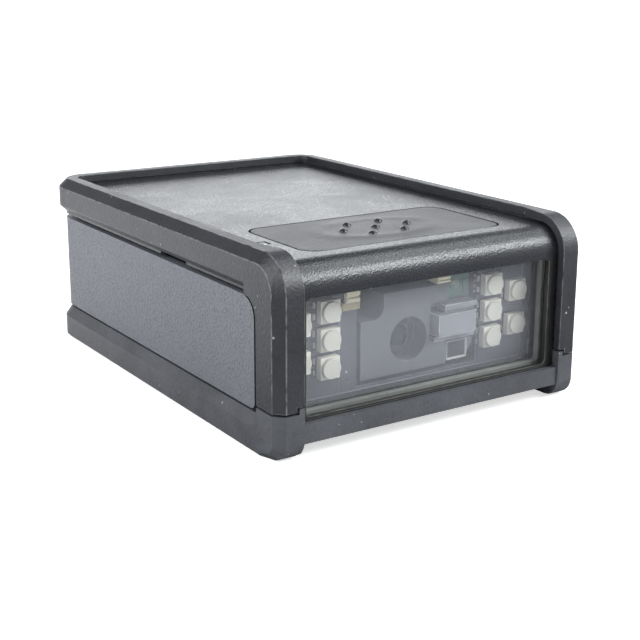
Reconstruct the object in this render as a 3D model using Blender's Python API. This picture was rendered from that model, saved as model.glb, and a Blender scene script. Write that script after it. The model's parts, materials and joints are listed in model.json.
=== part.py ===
# Fixed barcode reader: case halves, rubber bumpers, window, imager, boards, trigger and socket
import math

import bmesh
import bpy
from mathutils import Matrix, Vector

for old in list(bpy.data.objects):
    bpy.data.objects.remove(old, do_unlink=True)

MM = 0.001

# Overall size. X is the width, Y the length with the window at -Y, Z the height from the table
WIDTH = 50.0 * MM
LENGTH = 71.0 * MM
HEIGHT = 26.0 * MM

# Clearances
GAP = 0.3 * MM
PARTING_GAP = 0.6 * MM
PAD_GAP = 0.2 * MM

# Upper bumper
REAR_CORNER_RADIUS = 5.0 * MM
NOSE_RADIUS = 5.0 * MM
EDGE_CHAMFER = 1.3 * MM
RIM_WIDTH = 3.0 * MM
RIM_RISE = 1.5 * MM
BAND_HEIGHT = 5.7 * MM
UNDERCUT = 1.0 * MM
LOWER_LIP = 0.4 * MM
LEG_DEPTH = 5.1 * MM
LEG_WIDTH = 3.95 * MM
LEG_FILLET = 2.8 * MM
LEG_TAPER_START = 9.5 * MM
LEG_TAPER_END = 5.0 * MM
SNAP_SLOT_LENGTH = 7.6 * MM
SNAP_SLOT_FROM_FRONT = 25.0 * MM
SNAP_SLOT_DEPTH = 1.2 * MM

# Lower boot
BOOT_REAR_INSET = 0.5 * MM
RAIL_HEIGHT = 4.9 * MM
RAIL_CHAMFER = 1.0 * MM
RAIL_CHAMFER_DROP = 1.4 * MM
RAIL_THICKNESS = 1.9 * MM
FOOT_HEIGHT = 6.3 * MM
FOOT_NOSE_RADIUS = 3.0 * MM
FOOT_EDGE_CHAMFER = 0.4 * MM
FOOT_CORNER_CHAMFER = 1.0 * MM
FOOT_CORNER_RUN = 3.0 * MM
FOOT_POCKET_RADIUS = 2.0 * MM
FOOT_POCKET_WALL = 0.7 * MM
FOOT_TAB_WIDTH = 0.75 * MM
FOOT_TAB_RISE = 0.7 * MM
BAR_BOTTOM = 2.2 * MM
BAR_HEIGHT = 2.55 * MM
BAR_RECESS = 0.3 * MM
BAR_THICKNESS = 0.9 * MM

# Bottom tub
PANEL_INSET = 1.0 * MM
PANEL_LEG_GAP = 0.5 * MM
PANEL_CORNER_RADIUS = 2.4 * MM
TUB_WALL = 1.5 * MM
BELLY_CLEARANCE = 1.2 * MM
FLOOR_THICKNESS = 1.6 * MM
TUB_NOSE_LIFT = 1.2 * MM
TUB_NOSE_THICKNESS = 1.2 * MM
SILL_HEIGHT = 4.8 * MM

# Top cover
COVER_WALL = 1.6 * MM
COVER_INNER_CORNER = 1.0 * MM
SKIRT_LAP = 1.2 * MM
PILLAR_DEPTH = 6.1 * MM

# Window
WINDOW_SIDE_MARGIN = 0.95 * MM
WINDOW_BROW = 4.25 * MM
WINDOW_LIP = 0.6 * MM
WINDOW_CORNER_RADIUS = 0.7 * MM
WINDOW_OVERLAP = 0.85 * MM
PANE_THICKNESS = 0.8 * MM
SEAL_DEPTH = 1.1 * MM
SEAL_INNER_STEP = 0.1 * MM
SEAL_SILL_RISE = 0.15 * MM

# Trigger pad and its switch
PAD_SIDE_MARGIN = 5.8 * MM
PAD_LENGTH = 16.3 * MM
PAD_FROM_FRONT = 6.9 * MM
PAD_CORNER_RADIUS = 2.4 * MM
PAD_TONGUE_MARGIN = 4.2 * MM
PAD_TONGUE_REACH = 0.8 * MM
PAD_TONGUE_THICKNESS = 0.9 * MM
PAD_TRAVEL = 0.3 * MM
DOT_RADIUS = 0.7 * MM
DOT_HEIGHT = 0.45 * MM
DOT_SPACING_X = 5.3 * MM
DOT_SPACING_Y = 3.1 * MM
NUB_RADIUS = 1.5 * MM
NUB_LENGTH = 1.1 * MM
SWITCH_WIDTH = 4.5 * MM
SWITCH_HEIGHT = 1.2 * MM
PLUNGER_RADIUS = 0.9 * MM
PLUNGER_LENGTH = 0.9 * MM
PLUNGER_HOLE_DEPTH = 0.8 * MM
BUTTON_BOARD_THICKNESS = 0.8 * MM
BUTTON_BOARD_LENGTH = 11.5 * MM
BUTTON_BOARD_FROM_FRONT = 8.5 * MM
BUTTON_POST_RADIUS = 1.6 * MM
BUTTON_POST_INSET = 1.8 * MM
BUTTON_SCREW_RADIUS = 0.5 * MM
BUTTON_SCREW_HEAD_RADIUS = 1.4 * MM

# Status light beside the pad
LIGHT_INSET = 1.8 * MM
LIGHT_FROM_FRONT = 14.6 * MM
LIGHT_WIDTH = 1.8 * MM
LIGHT_LENGTH = 1.2 * MM
LIGHT_COLLAR = 0.5 * MM
LIGHT_COLLAR_THICKNESS = 0.6 * MM
STATUS_LAMP_HEIGHT = 0.8 * MM

# Illumination board and lamps
BOARD_FROM_FRONT = 6.9 * MM
BOARD_THICKNESS = 1.0 * MM
BOARD_TOP_MARGIN = 2.5 * MM
BOARD_BOTTOM = 4.5 * MM
BOARD_STRIP = 1.0 * MM
LAMP_SIZE = 3.0 * MM
LAMP_BASE_DEPTH = 1.1 * MM
LAMP_DOME_RADIUS = 1.45 * MM
LAMP_DOME_DEPTH = 0.8 * MM
LEFT_INNER_LAMPS = 3
LEFT_INNER_INSET = 6.45 * MM
LEFT_INNER_DROP = 3.6 * MM
LEFT_INNER_PITCH = 3.75 * MM
LEFT_OUTER_LAMPS = 2
LEFT_OUTER_INSET = 1.95 * MM
LEFT_OUTER_DROP = 4.9 * MM
LEFT_OUTER_PITCH = 4.95 * MM
RIGHT_INNER_LAMPS = 3
RIGHT_INNER_INSET = 6.65 * MM
RIGHT_INNER_DROP = 3.75 * MM
RIGHT_INNER_PITCH = 3.75 * MM
RIGHT_OUTER_LAMPS = 2
RIGHT_OUTER_INSET = 2.25 * MM
RIGHT_OUTER_DROP = 5.15 * MM
RIGHT_OUTER_PITCH = 4.9 * MM

# Imager
HOLDER_FROM_FRONT = 6.5 * MM
HOLDER_LAMP_CLEARANCE = 3.85 * MM
HOLDER_STEP_WIDTH = 3.65 * MM
HOLDER_STEP_DEPTH = 3.35 * MM
HOLDER_BOTTOM = 6.2 * MM
HOLDER_TOP_CLEARANCE = 0.8 * MM
HOLDER_LENGTH = 10.3 * MM
HOLDER_WALL = 1.2 * MM
SENSOR_POCKET_DEPTH = 7.0 * MM
APERTURE_SHIFT_X = 0.7 * MM
APERTURE_SHIFT_Z = -1.1 * MM
APERTURE_RADIUS = 3.05 * MM
BARREL_LENGTH = 7.0 * MM
BARREL_SETBACK = 2.2 * MM
BARREL_BORE = 1.7 * MM
LENS_THICKNESS = 0.9 * MM
SENSOR_CHIP_SIZE = 3.8 * MM
SENSOR_CHIP_THICKNESS = 0.9 * MM
SENSOR_BOARD_THICKNESS = 1.0 * MM
SENSOR_BOARD_SIDE_MARGIN = 7.1 * MM
SENSOR_BOARD_BOTTOM = 6.0 * MM
AIMER_LAMP_CLEARANCE = 0.5 * MM
AIMER_BLOCK_WIDTH = 5.45 * MM
AIMER_FROM_FRONT = 8.3 * MM
AIMER_TOP_DROP = 1.6 * MM
AIMER_SIDE_MARGIN = 0.75 * MM
AIMER_LENS_MARGIN = 1.2 * MM
AIMER_LENS_DEPTH = 3.0 * MM
AIMER_LENS_CORNER = 0.7 * MM
AIMER_NOTCH_WIDTH = 2.8 * MM
AIMER_LAMP_SIZE = 2.0 * MM
AIMER_LAMP_DEPTH = 1.0 * MM
AIMER_POCKET_DEPTH = 1.6 * MM
LIGHT_SENSOR_WIDTH = 3.6 * MM
LIGHT_SENSOR_HEIGHT = 2.8 * MM
LIGHT_SENSOR_DEPTH = 0.8 * MM
LIGHT_SENSOR_FRAME = 0.4 * MM
LIGHT_SENSOR_SHIFT = 0.2 * MM
LIGHT_SENSOR_RISE = 0.1 * MM
LIGHT_SENSOR_CLEARANCE = 1.4 * MM
EAR_REACH = 4.2 * MM
EAR_DEPTH = 3.6 * MM
EAR_THICKNESS = 1.2 * MM
IMAGER_SCREW_RADIUS = 0.7 * MM
IMAGER_SCREW_HEAD_RADIUS = 1.5 * MM
IMAGER_POST_RADIUS = 2.2 * MM

# Main board and what it carries
MAIN_BOARD_FROM_FRONT = 20.3 * MM
MAIN_BOARD_END_CLEARANCE = 1.0 * MM
MAIN_BOARD_LIFT = 1.8 * MM
MAIN_BOARD_THICKNESS = 1.2 * MM
BOARD_POST_RADIUS = 2.0 * MM
BOARD_POST_INSET = 2.7 * MM
BOARD_POST_END = 3.2 * MM
BOARD_SCREW_RADIUS = 0.8 * MM
BOARD_SCREW_HEAD_RADIUS = 1.6 * MM
CHIP_SIZE = 10.0 * MM
CHIP_THICKNESS = 1.2 * MM
CHIP_EDGE_MARGIN = 0.6 * MM
CHIP_FROM_BOARD_FRONT = 8.0 * MM
BEEPER_RADIUS = 4.5 * MM
BEEPER_HEIGHT = 3.6 * MM
CONNECTOR_WIDTH = 8.4 * MM
CONNECTOR_DEPTH = 1.6 * MM
CONNECTOR_HEIGHT = 1.4 * MM
FLEX_WIDTH = 7.0 * MM
FLEX_THICKNESS = 0.2 * MM

# Cable socket at the back
JACK_WIDTH = 15.4 * MM
JACK_HEIGHT = 11.6 * MM
JACK_DEPTH = 15.5 * MM
JACK_OPENING_WIDTH = 11.8 * MM
JACK_OPENING_HEIGHT = 8.2 * MM
JACK_OPENING_DEPTH = 12.5 * MM
JACK_OPENING_LIFT = 1.7 * MM
JACK_LATCH_WIDTH = 6.2 * MM
JACK_LATCH_RISE = 1.2 * MM
CONTACTS_WIDTH = 9.6 * MM
CONTACTS_HEIGHT = 0.8 * MM
CONTACTS_LENGTH = 8.0 * MM

# Fasteners and threaded inserts
CASE_SCREW_RADIUS = 1.0 * MM
CASE_SCREW_HEAD_RADIUS = 1.9 * MM
CASE_SCREW_HEAD = 1.2 * MM
CASE_SCREW_LENGTH = 11.0 * MM
CASE_SCREW_INSET = 2.2 * MM
CASE_SCREW_FRONT = 27.0 * MM
CASE_SCREW_REAR = 8.0 * MM
CASE_POST_RADIUS = 3.2 * MM
CASE_BOSS_RADIUS = 2.4 * MM
CASE_POST_HEIGHT = 3.0 * MM
SMALL_SCREW_HEAD = 0.9 * MM
INSERT_RADIUS = 2.0 * MM
INSERT_BORE = 1.25 * MM
INSERT_LENGTH = 2.5 * MM
INSERT_WALL = 1.2 * MM
INSERT_X = 10.0 * MM
INSERT_Y = 3.0 * MM
INSERT_BOSS_HEIGHT = 1.5 * MM

ROUND_SEGMENTS = 10
LENS_CORNER_STEPS = 4

# Planes and edges that follow from the sizes above
HALF = WIDTH / 2
FRONT = -LENGTH / 2
REAR = LENGTH / 2
COVER_HALF = HALF - RIM_WIDTH
COVER_FRONT = FRONT + RIM_RISE
COVER_REAR = REAR - RIM_WIDTH
COVER_TOP = HEIGHT - RIM_RISE
COVER_UNDER = COVER_TOP - COVER_WALL
COVER_INNER_HALF = COVER_HALF - COVER_WALL
BAND_BOTTOM = HEIGHT - BAND_HEIGHT
TUB_TOP = BAND_BOTTOM - PARTING_GAP
PANEL_HALF = HALF - PANEL_INSET
PANEL_REAR = REAR - PANEL_INSET
PANEL_BOTTOM = RAIL_HEIGHT + GAP
TUB_INNER_HALF = PANEL_HALF - TUB_WALL
LOWER_TUB_HALF = HALF - RAIL_THICKNESS - GAP
LOWER_TUB_REAR = REAR - BOOT_REAR_INSET - RAIL_THICKNESS - GAP
LOWER_INNER_HALF = LOWER_TUB_HALF - TUB_WALL
FLOOR_TOP = BELLY_CLEARANCE + FLOOR_THICKNESS
LEG_REAR = FRONT + LEG_DEPTH
PANEL_FRONT = LEG_REAR + PANEL_LEG_GAP
LEG_INNER = HALF - LEG_WIDTH
LEG_BOTTOM = FOOT_HEIGHT + GAP
WINDOW_HALF_WIDTH = LEG_INNER - WINDOW_SIDE_MARGIN
WINDOW_TOP = COVER_TOP - WINDOW_BROW
LIP_REAR = COVER_FRONT + WINDOW_LIP
PANE_FRONT = LIP_REAR + GAP
PANE_BACK = PANE_FRONT + PANE_THICKNESS
SEAL_FRONT = PANE_BACK + GAP
SEAL_BACK = SEAL_FRONT + SEAL_DEPTH
NOSE_BOTTOM = BELLY_CLEARANCE + TUB_NOSE_LIFT
NOSE_TOP = NOSE_BOTTOM + TUB_NOSE_THICKNESS
PANE_BOTTOM = NOSE_TOP + GAP
PANE_HALF = WINDOW_HALF_WIDTH + WINDOW_OVERLAP
PANE_TOP = WINDOW_TOP + WINDOW_OVERLAP
BOARD_FRONT = FRONT + BOARD_FROM_FRONT
BOARD_BACK = BOARD_FRONT + BOARD_THICKNESS
BOARD_HALF_WIDTH = COVER_INNER_HALF - GAP
BOARD_TOP = COVER_UNDER - BOARD_TOP_MARGIN
LEFT_INNER_X = -(BOARD_HALF_WIDTH - LEFT_INNER_INSET)
LEFT_OUTER_X = -(BOARD_HALF_WIDTH - LEFT_OUTER_INSET)
RIGHT_INNER_X = BOARD_HALF_WIDTH - RIGHT_INNER_INSET
RIGHT_OUTER_X = BOARD_HALF_WIDTH - RIGHT_OUTER_INSET
HOLDER_FRONT = FRONT + HOLDER_FROM_FRONT
HOLDER_BACK = HOLDER_FRONT + HOLDER_LENGTH
AIMER_FACE = FRONT + AIMER_FROM_FRONT
SENSOR_BOARD_FRONT = HOLDER_BACK + GAP
SENSOR_BOARD_BACK = SENSOR_BOARD_FRONT + SENSOR_BOARD_THICKNESS
SENSOR_BOARD_HALF_WIDTH = BOARD_HALF_WIDTH - SENSOR_BOARD_SIDE_MARGIN
PAD_WIDTH = 2 * (COVER_HALF - PAD_SIDE_MARGIN)
PAD_FRONT = FRONT + PAD_FROM_FRONT
PAD_BACK = PAD_FRONT + PAD_LENGTH
PAD_Y = (PAD_FRONT + PAD_BACK) / 2
PAD_UNDER = COVER_UNDER - GAP
TONGUE_BOTTOM = PAD_UNDER - PAD_TONGUE_THICKNESS
NUB_BOTTOM = PAD_UNDER - NUB_LENGTH
PLUNGER_TOP = NUB_BOTTOM - GAP
PLUNGER_BOTTOM = PLUNGER_TOP - PLUNGER_LENGTH
SWITCH_TOP = PLUNGER_BOTTOM - PAD_TRAVEL - GAP / 3 + PLUNGER_HOLE_DEPTH
SWITCH_BOTTOM = SWITCH_TOP - SWITCH_HEIGHT
BUTTON_BOARD_TOP = SWITCH_BOTTOM - GAP
BUTTON_BOARD_UNDER = BUTTON_BOARD_TOP - BUTTON_BOARD_THICKNESS
BUTTON_BOARD_START = FRONT + BUTTON_BOARD_FROM_FRONT
BUTTON_POST_X = COVER_INNER_HALF - BUTTON_POST_INSET
HOLDER_LEFT = LEFT_INNER_X + LAMP_SIZE / 2 + HOLDER_LAMP_CLEARANCE
HOLDER_STEP_X = HOLDER_LEFT + HOLDER_STEP_WIDTH
AIMER_RIGHT = RIGHT_INNER_X - LAMP_SIZE / 2 - AIMER_LAMP_CLEARANCE
HOLDER_RIGHT = AIMER_RIGHT - AIMER_BLOCK_WIDTH
HOLDER_TOP = BUTTON_BOARD_UNDER - HOLDER_TOP_CLEARANCE
HOLDER_STEP_TOP = HOLDER_TOP - HOLDER_STEP_DEPTH
APERTURE_X = (HOLDER_LEFT + HOLDER_RIGHT) / 2 + APERTURE_SHIFT_X
APERTURE_Z = (HOLDER_BOTTOM + HOLDER_TOP) / 2 + APERTURE_SHIFT_Z
AIMER_TOP = HOLDER_TOP - AIMER_TOP_DROP
AIMER_NOTCH_LEFT = HOLDER_RIGHT - AIMER_NOTCH_WIDTH
AIMER_LENS_LEFT = AIMER_NOTCH_LEFT + GAP
AIMER_LENS_RIGHT = AIMER_RIGHT - AIMER_SIDE_MARGIN
AIMER_LENS_X = (AIMER_LENS_LEFT + AIMER_LENS_RIGHT) / 2
LIGHT_SENSOR_X = (HOLDER_RIGHT + AIMER_RIGHT) / 2 - LIGHT_SENSOR_SHIFT
LIGHT_SENSOR_BOTTOM = HOLDER_BOTTOM + LIGHT_SENSOR_RISE
AIMER_LENS_BOTTOM = LIGHT_SENSOR_BOTTOM + LIGHT_SENSOR_HEIGHT + LIGHT_SENSOR_CLEARANCE
AIMER_LENS_HEIGHT = AIMER_TOP - AIMER_LENS_MARGIN - AIMER_LENS_BOTTOM
LIGHT_Y = FRONT + LIGHT_FROM_FRONT
LIGHT_X = -(COVER_INNER_HALF - LIGHT_INSET)
CASE_SCREW_X = COVER_INNER_HALF - CASE_SCREW_INSET
MAIN_BOARD_FRONT = FRONT + MAIN_BOARD_FROM_FRONT
MAIN_BOARD_BACK = LOWER_TUB_REAR - TUB_WALL - MAIN_BOARD_END_CLEARANCE
MAIN_BOARD_HALF_WIDTH = CASE_SCREW_X - CASE_POST_RADIUS - GAP
BOARD_POST_X = MAIN_BOARD_HALF_WIDTH - BOARD_POST_INSET
MAIN_BOARD_UNDER = FLOOR_TOP + MAIN_BOARD_LIFT
MAIN_BOARD_TOP = MAIN_BOARD_UNDER + MAIN_BOARD_THICKNESS
JACK_BACK = PANEL_REAR - GAP
JACK_FRONT = JACK_BACK - JACK_DEPTH
JACK_BOTTOM = MAIN_BOARD_TOP + GAP
JACK_TOP = JACK_BOTTOM + JACK_HEIGHT
CASE_SCREW_SPOTS = [
    (-CASE_SCREW_X, FRONT + CASE_SCREW_FRONT),
    (CASE_SCREW_X, FRONT + CASE_SCREW_FRONT),
    (-CASE_SCREW_X, REAR - CASE_SCREW_REAR),
    (CASE_SCREW_X, REAR - CASE_SCREW_REAR),
]
POST_TOP = FLOOR_TOP + CASE_POST_HEIGHT


def material(name, colour, roughness, metallic=0.0, transmission=0.0):
    surface = bpy.data.materials.new(name)
    surface.use_nodes = True
    shader = surface.node_tree.nodes["Principled BSDF"]
    shader.inputs["Base Color"].default_value = (*colour, 1.0)
    shader.inputs["Roughness"].default_value = roughness
    shader.inputs["Metallic"].default_value = metallic
    shader.inputs["Transmission Weight"].default_value = transmission
    return surface


CASE_GREY = material("case_grey", (0.17, 0.18, 0.19), 0.55)
CASE_DARK = material("case_dark", (0.07, 0.075, 0.08), 0.5)
RUBBER = material("bumper_rubber", (0.055, 0.057, 0.06), 0.6)
PAD_RUBBER = material("pad_rubber", (0.1, 0.105, 0.11), 0.5)
CLEAR = material("clear_window", (0.85, 0.9, 0.9), 0.05, transmission=1.0)
SEAL_GREY = material("seal_grey", (0.3, 0.32, 0.3), 0.5)
FROSTED = material("frosted_light", (0.75, 0.77, 0.78), 0.35)
BOARD_DARK = material("board_dark", (0.09, 0.1, 0.12), 0.45)
BOARD_GREEN = material("board_green", (0.06, 0.16, 0.12), 0.45)
LAMP_CREAM = material("lamp_cream", (0.8, 0.8, 0.7), 0.4)
IMAGER_GREY = material("imager_grey", (0.2, 0.21, 0.23), 0.6)
LENS_BLACK = material("lens_black", (0.02, 0.02, 0.022), 0.4)
CHIP_BLACK = material("chip_black", (0.03, 0.03, 0.03), 0.4)
STEEL = material("screw_steel", (0.5, 0.5, 0.5), 0.35, 1.0)
BRASS = material("insert_brass", (0.75, 0.55, 0.25), 0.35, 1.0)
GILT = material("contact_gilt", (0.8, 0.65, 0.3), 0.3, 1.0)
FLEX_AMBER = material("flex_amber", (0.4, 0.2, 0.05), 0.4)


def finish(name, mesh_data, surface, origin=(0, 0, 0), smooth=False):
    bmesh.ops.recalc_face_normals(mesh_data, faces=mesh_data.faces)
    bmesh.ops.translate(mesh_data, verts=mesh_data.verts, vec=-Vector(origin))
    mesh = bpy.data.meshes.new(name)
    mesh_data.to_mesh(mesh)
    mesh_data.free()
    if smooth:
        mesh.shade_smooth()
        mesh.set_sharp_from_angle(angle=math.radians(35))
    piece = bpy.data.objects.new(name, mesh)
    piece.location = origin
    bpy.context.scene.collection.objects.link(piece)
    if surface:
        mesh.materials.append(surface)
    return piece


def prism(outline, low, high, axis="Z"):
    """A closed block with this outline, pushed from low to high along the axis."""
    order = {"X": (1, 2, 0), "Y": (0, 2, 1), "Z": (0, 1, 2)}[axis]
    mesh_data = bmesh.new()
    corners = []
    for first, second in outline:
        point = [0.0, 0.0, 0.0]
        point[order[0]] = first
        point[order[1]] = second
        point[order[2]] = low
        corners.append(mesh_data.verts.new(point))
    face = mesh_data.faces.new(corners)
    pushed = bmesh.ops.extrude_face_region(mesh_data, geom=[face])
    shift = [0.0, 0.0, 0.0]
    shift[order[2]] = high - low
    moved = [item for item in pushed["geom"] if isinstance(item, bmesh.types.BMVert)]
    bmesh.ops.translate(mesh_data, verts=moved, vec=shift)
    return mesh_data


def rectangle(x_low, x_high, y_low, y_high):
    return [(x_low, y_low), (x_high, y_low), (x_high, y_high), (x_low, y_high)]


def rounded_rectangle(x_low, x_high, y_low, y_high, radius, segments=5):
    points = []
    corners = [
        (x_high - radius, y_low + radius, -90),
        (x_high - radius, y_high - radius, 0),
        (x_low + radius, y_high - radius, 90),
        (x_low + radius, y_low + radius, 180),
    ]
    for centre_x, centre_y, start in corners:
        for step in range(segments + 1):
            angle = math.radians(start + 90 * step / segments)
            points.append((centre_x + radius * math.cos(angle), centre_y + radius * math.sin(angle)))
    return points


def circle(centre, radius, segments):
    points = []
    for step in range(segments):
        angle = 2 * math.pi * step / segments
        points.append((centre[0] + radius * math.cos(angle), centre[1] + radius * math.sin(angle)))
    return points


def u_outline(half, front, rear, radius, segments=ROUND_SEGMENTS):
    """The plan line from the front left, round the two rear corners, to the front right."""
    points = [(-half, front)]
    for centre_x, start in ((-half + radius, 180), (half - radius, 90)):
        for step in range(segments + 1):
            angle = math.radians(start - 90 * step / segments)
            points.append((centre_x + radius * math.cos(angle), rear - radius + radius * math.sin(angle)))
    points.append((half, front))
    return points


def u_rail(section, half, front, rear, radius):
    """A closed section of (inset, height) points carried along the sides and round the back."""
    mesh_data = bmesh.new()
    lines = []
    for inset, height in section:
        line = u_outline(half - inset, front, rear - inset, max(radius - inset, 0.2 * MM))
        lines.append([mesh_data.verts.new((x, y, height)) for x, y in line])
    for index, line in enumerate(lines):
        following = lines[(index + 1) % len(lines)]
        for step in range(len(line) - 1):
            mesh_data.faces.new((line[step], line[step + 1], following[step + 1], following[step]))
    mesh_data.faces.new([line[0] for line in lines])
    mesh_data.faces.new([line[-1] for line in reversed(lines)])
    return mesh_data


def block(name, x_low, x_high, y_low, y_high, z_low, z_high, surface=None):
    return finish(name, prism(rectangle(x_low, x_high, y_low, y_high), z_low, z_high), surface)


def rod(name, centre, radius, low, high, axis="Z", segments=20, surface=None):
    return finish(name, prism(circle(centre, radius, segments), low, high, axis), surface, smooth=True)


def helper(piece):
    piece.hide_render = True
    piece.display_type = "WIRE"
    return piece


def boolean(piece, other, operation):
    helper(other)
    step = piece.modifiers.new(other.name, "BOOLEAN")
    step.operation = operation
    step.solver = "EXACT"
    step.object = other


def cut(piece, *others):
    for other in others:
        boolean(piece, other, "DIFFERENCE")


def join(piece, *others):
    for other in others:
        boolean(piece, other, "UNION")


def edges_between(mesh_data, first_test, second_test):
    chosen = []
    for edge in mesh_data.edges:
        if len(edge.link_faces) != 2:
            continue
        one, two = edge.link_faces
        if (first_test(one) and second_test(two)) or (first_test(two) and second_test(one)):
            chosen.append(edge)
    return chosen


def bevel(mesh_data, edges, width, segments):
    bmesh.ops.bevel(
        mesh_data,
        geom=edges,
        offset=width,
        segments=segments,
        profile=0.5,
        affect="EDGES",
        clamp_overlap=True,
    )


def nose_body(half, front, rear, corner, low, high, nose, at_top=True, chamfer=0.0, segments=8):
    """A block with rounded rear corners, one rounded cross edge at the front and a chamfered rim."""
    mesh_data = prism(u_outline(half, front, rear, corner), low, high)
    bmesh.ops.recalc_face_normals(mesh_data, faces=mesh_data.faces)
    level = high if at_top else low
    nose_edges = []
    for edge in mesh_data.edges:
        if all(abs(v.co.y - front) < 1e-7 and abs(v.co.z - level) < 1e-7 for v in edge.verts):
            nose_edges.append(edge)
    bevel(mesh_data, nose_edges, nose, segments)
    if chamfer:
        bmesh.ops.recalc_face_normals(mesh_data, faces=mesh_data.faces)
        sign = 1 if at_top else -1

        def crown(face):
            if abs(face.normal.x) > 0.01:
                return False
            return face.normal.z * sign > 0.01 or (face.normal.y < -0.01 and face.normal.z * sign > -0.01)

        def wall(face):
            return abs(face.normal.z) < 0.01 and face.normal.y > -0.01

        bevel(mesh_data, edges_between(mesh_data, crown, wall), chamfer, 1)
    return mesh_data


def corner_cutter(side, half, front, top, radius, chamfer, last_chamfer, run, spare):
    """A three-sided strip down a front corner and under its rounded foot, which then runs out."""
    stations = [(front, top, 0.0, chamfer), (front, radius, 0.0, chamfer)]
    for step in range(1, ROUND_SEGMENTS + 1):
        part = step / ROUND_SEGMENTS
        angle = math.radians(90 * part)
        y = front + radius - radius * math.cos(angle)
        z = radius - radius * math.sin(angle)
        stations.append((y, z, angle, chamfer + (last_chamfer - chamfer) * part))
    stations.append((front + radius + run, 0.0, math.radians(90), 0.0))
    mesh_data = bmesh.new()
    rings = []
    for y, z, angle, size in stations:
        ring = []
        for x, depth in ((half + spare, size + spare), (half - size - spare, -spare), (half + spare, -spare)):
            place = (side * x, y + depth * math.cos(angle), z + depth * math.sin(angle))
            ring.append(mesh_data.verts.new(place))
        rings.append(ring)
    for one, two in zip(rings, rings[1:]):
        for index in range(3):
            following = (index + 1) % 3
            mesh_data.faces.new((one[index], one[following], two[following], two[index]))
    mesh_data.faces.new(rings[0])
    mesh_data.faces.new(rings[-1][::-1])
    return mesh_data


# Upper bumper: rim, bands on three sides and two front legs in one moulding
upper_bumper = finish(
    "upper_bumper",
    nose_body(HALF, FRONT, REAR, REAR_CORNER_RADIUS, LEG_BOTTOM, HEIGHT, NOSE_RADIUS, True, EDGE_CHAMFER),
    RUBBER,
)
lip = RIM_RISE - GAP
cut(
    upper_bumper,
    finish(
        "bumper_inside",
        nose_body(
            COVER_HALF + GAP,
            FRONT + lip,
            COVER_REAR + GAP,
            REAR_CORNER_RADIUS - RIM_WIDTH + GAP,
            -HEIGHT,
            HEIGHT - lip,
            NOSE_RADIUS - lip,
        ),
        None,
    ),
)
mouth = u_outline(
    COVER_HALF, FRONT + LEG_TAPER_START, COVER_REAR, REAR_CORNER_RADIUS - RIM_WIDTH
)
mouth = (
    [(-LEG_INNER, FRONT - HALF), (-LEG_INNER, FRONT + LEG_TAPER_END)]
    + mouth
    + [(LEG_INNER, FRONT + LEG_TAPER_END), (LEG_INNER, FRONT - HALF)]
)
cut(upper_bumper, finish("bumper_mouth", prism(mouth, -HEIGHT, 2 * HEIGHT), None))
leg_profile = [
    (LEG_REAR, -HEIGHT),
    (REAR + HALF, -HEIGHT),
    (REAR + HALF, BAND_BOTTOM),
]
for step in range(ROUND_SEGMENTS + 1):
    angle = math.radians(90 + 90 * step / ROUND_SEGMENTS)
    leg_profile.append(
        (
            LEG_REAR + LEG_FILLET + LEG_FILLET * math.cos(angle),
            BAND_BOTTOM - LEG_FILLET + LEG_FILLET * math.sin(angle),
        )
    )
cut(upper_bumper, finish("bumper_side_gap", prism(leg_profile, -WIDTH, WIDTH, "X"), None))
undercut_section = [
    (-UNDERCUT, BAND_BOTTOM + LOWER_LIP + 2 * UNDERCUT),
    (UNDERCUT, BAND_BOTTOM + LOWER_LIP),
    (UNDERCUT, BAND_BOTTOM - UNDERCUT),
    (-UNDERCUT, BAND_BOTTOM - UNDERCUT),
]
cut(
    upper_bumper,
    finish(
        "bumper_undercut",
        u_rail(undercut_section, HALF, LEG_REAR + LEG_FILLET, REAR, REAR_CORNER_RADIUS),
        None,
    ),
)
for side in (-1, 1):
    notch_x = sorted((side * (PANEL_HALF - SNAP_SLOT_DEPTH), side * (HALF + UNDERCUT)))
    notch_y = FRONT + SNAP_SLOT_FROM_FRONT
    cut(
        upper_bumper,
        block(
            "snap_notch_right" if side > 0 else "snap_notch_left",
            notch_x[0],
            notch_x[1],
            notch_y,
            notch_y + SNAP_SLOT_LENGTH,
            BAND_BOTTOM - PARTING_GAP,
            BAND_BOTTOM + LOWER_LIP,
        ),
    )
    tab_x = sorted((side * (LEG_INNER - GAP), side * (LEG_INNER + FOOT_TAB_WIDTH + GAP)))
    cut(
        upper_bumper,
        block(
            "leg_tab_notch_right" if side > 0 else "leg_tab_notch_left",
            tab_x[0],
            tab_x[1],
            FRONT - GAP,
            LEG_REAR + GAP,
            LEG_BOTTOM - GAP,
            LEG_BOTTOM + FOOT_TAB_RISE,
        ),
    )

cut(
    upper_bumper,
    block(
        "bumper_over_jack",
        -JACK_WIDTH / 2 - GAP,
        JACK_WIDTH / 2 + GAP,
        JACK_FRONT - GAP,
        REAR + HALF,
        -HEIGHT,
        JACK_TOP + GAP,
    ),
)

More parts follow.
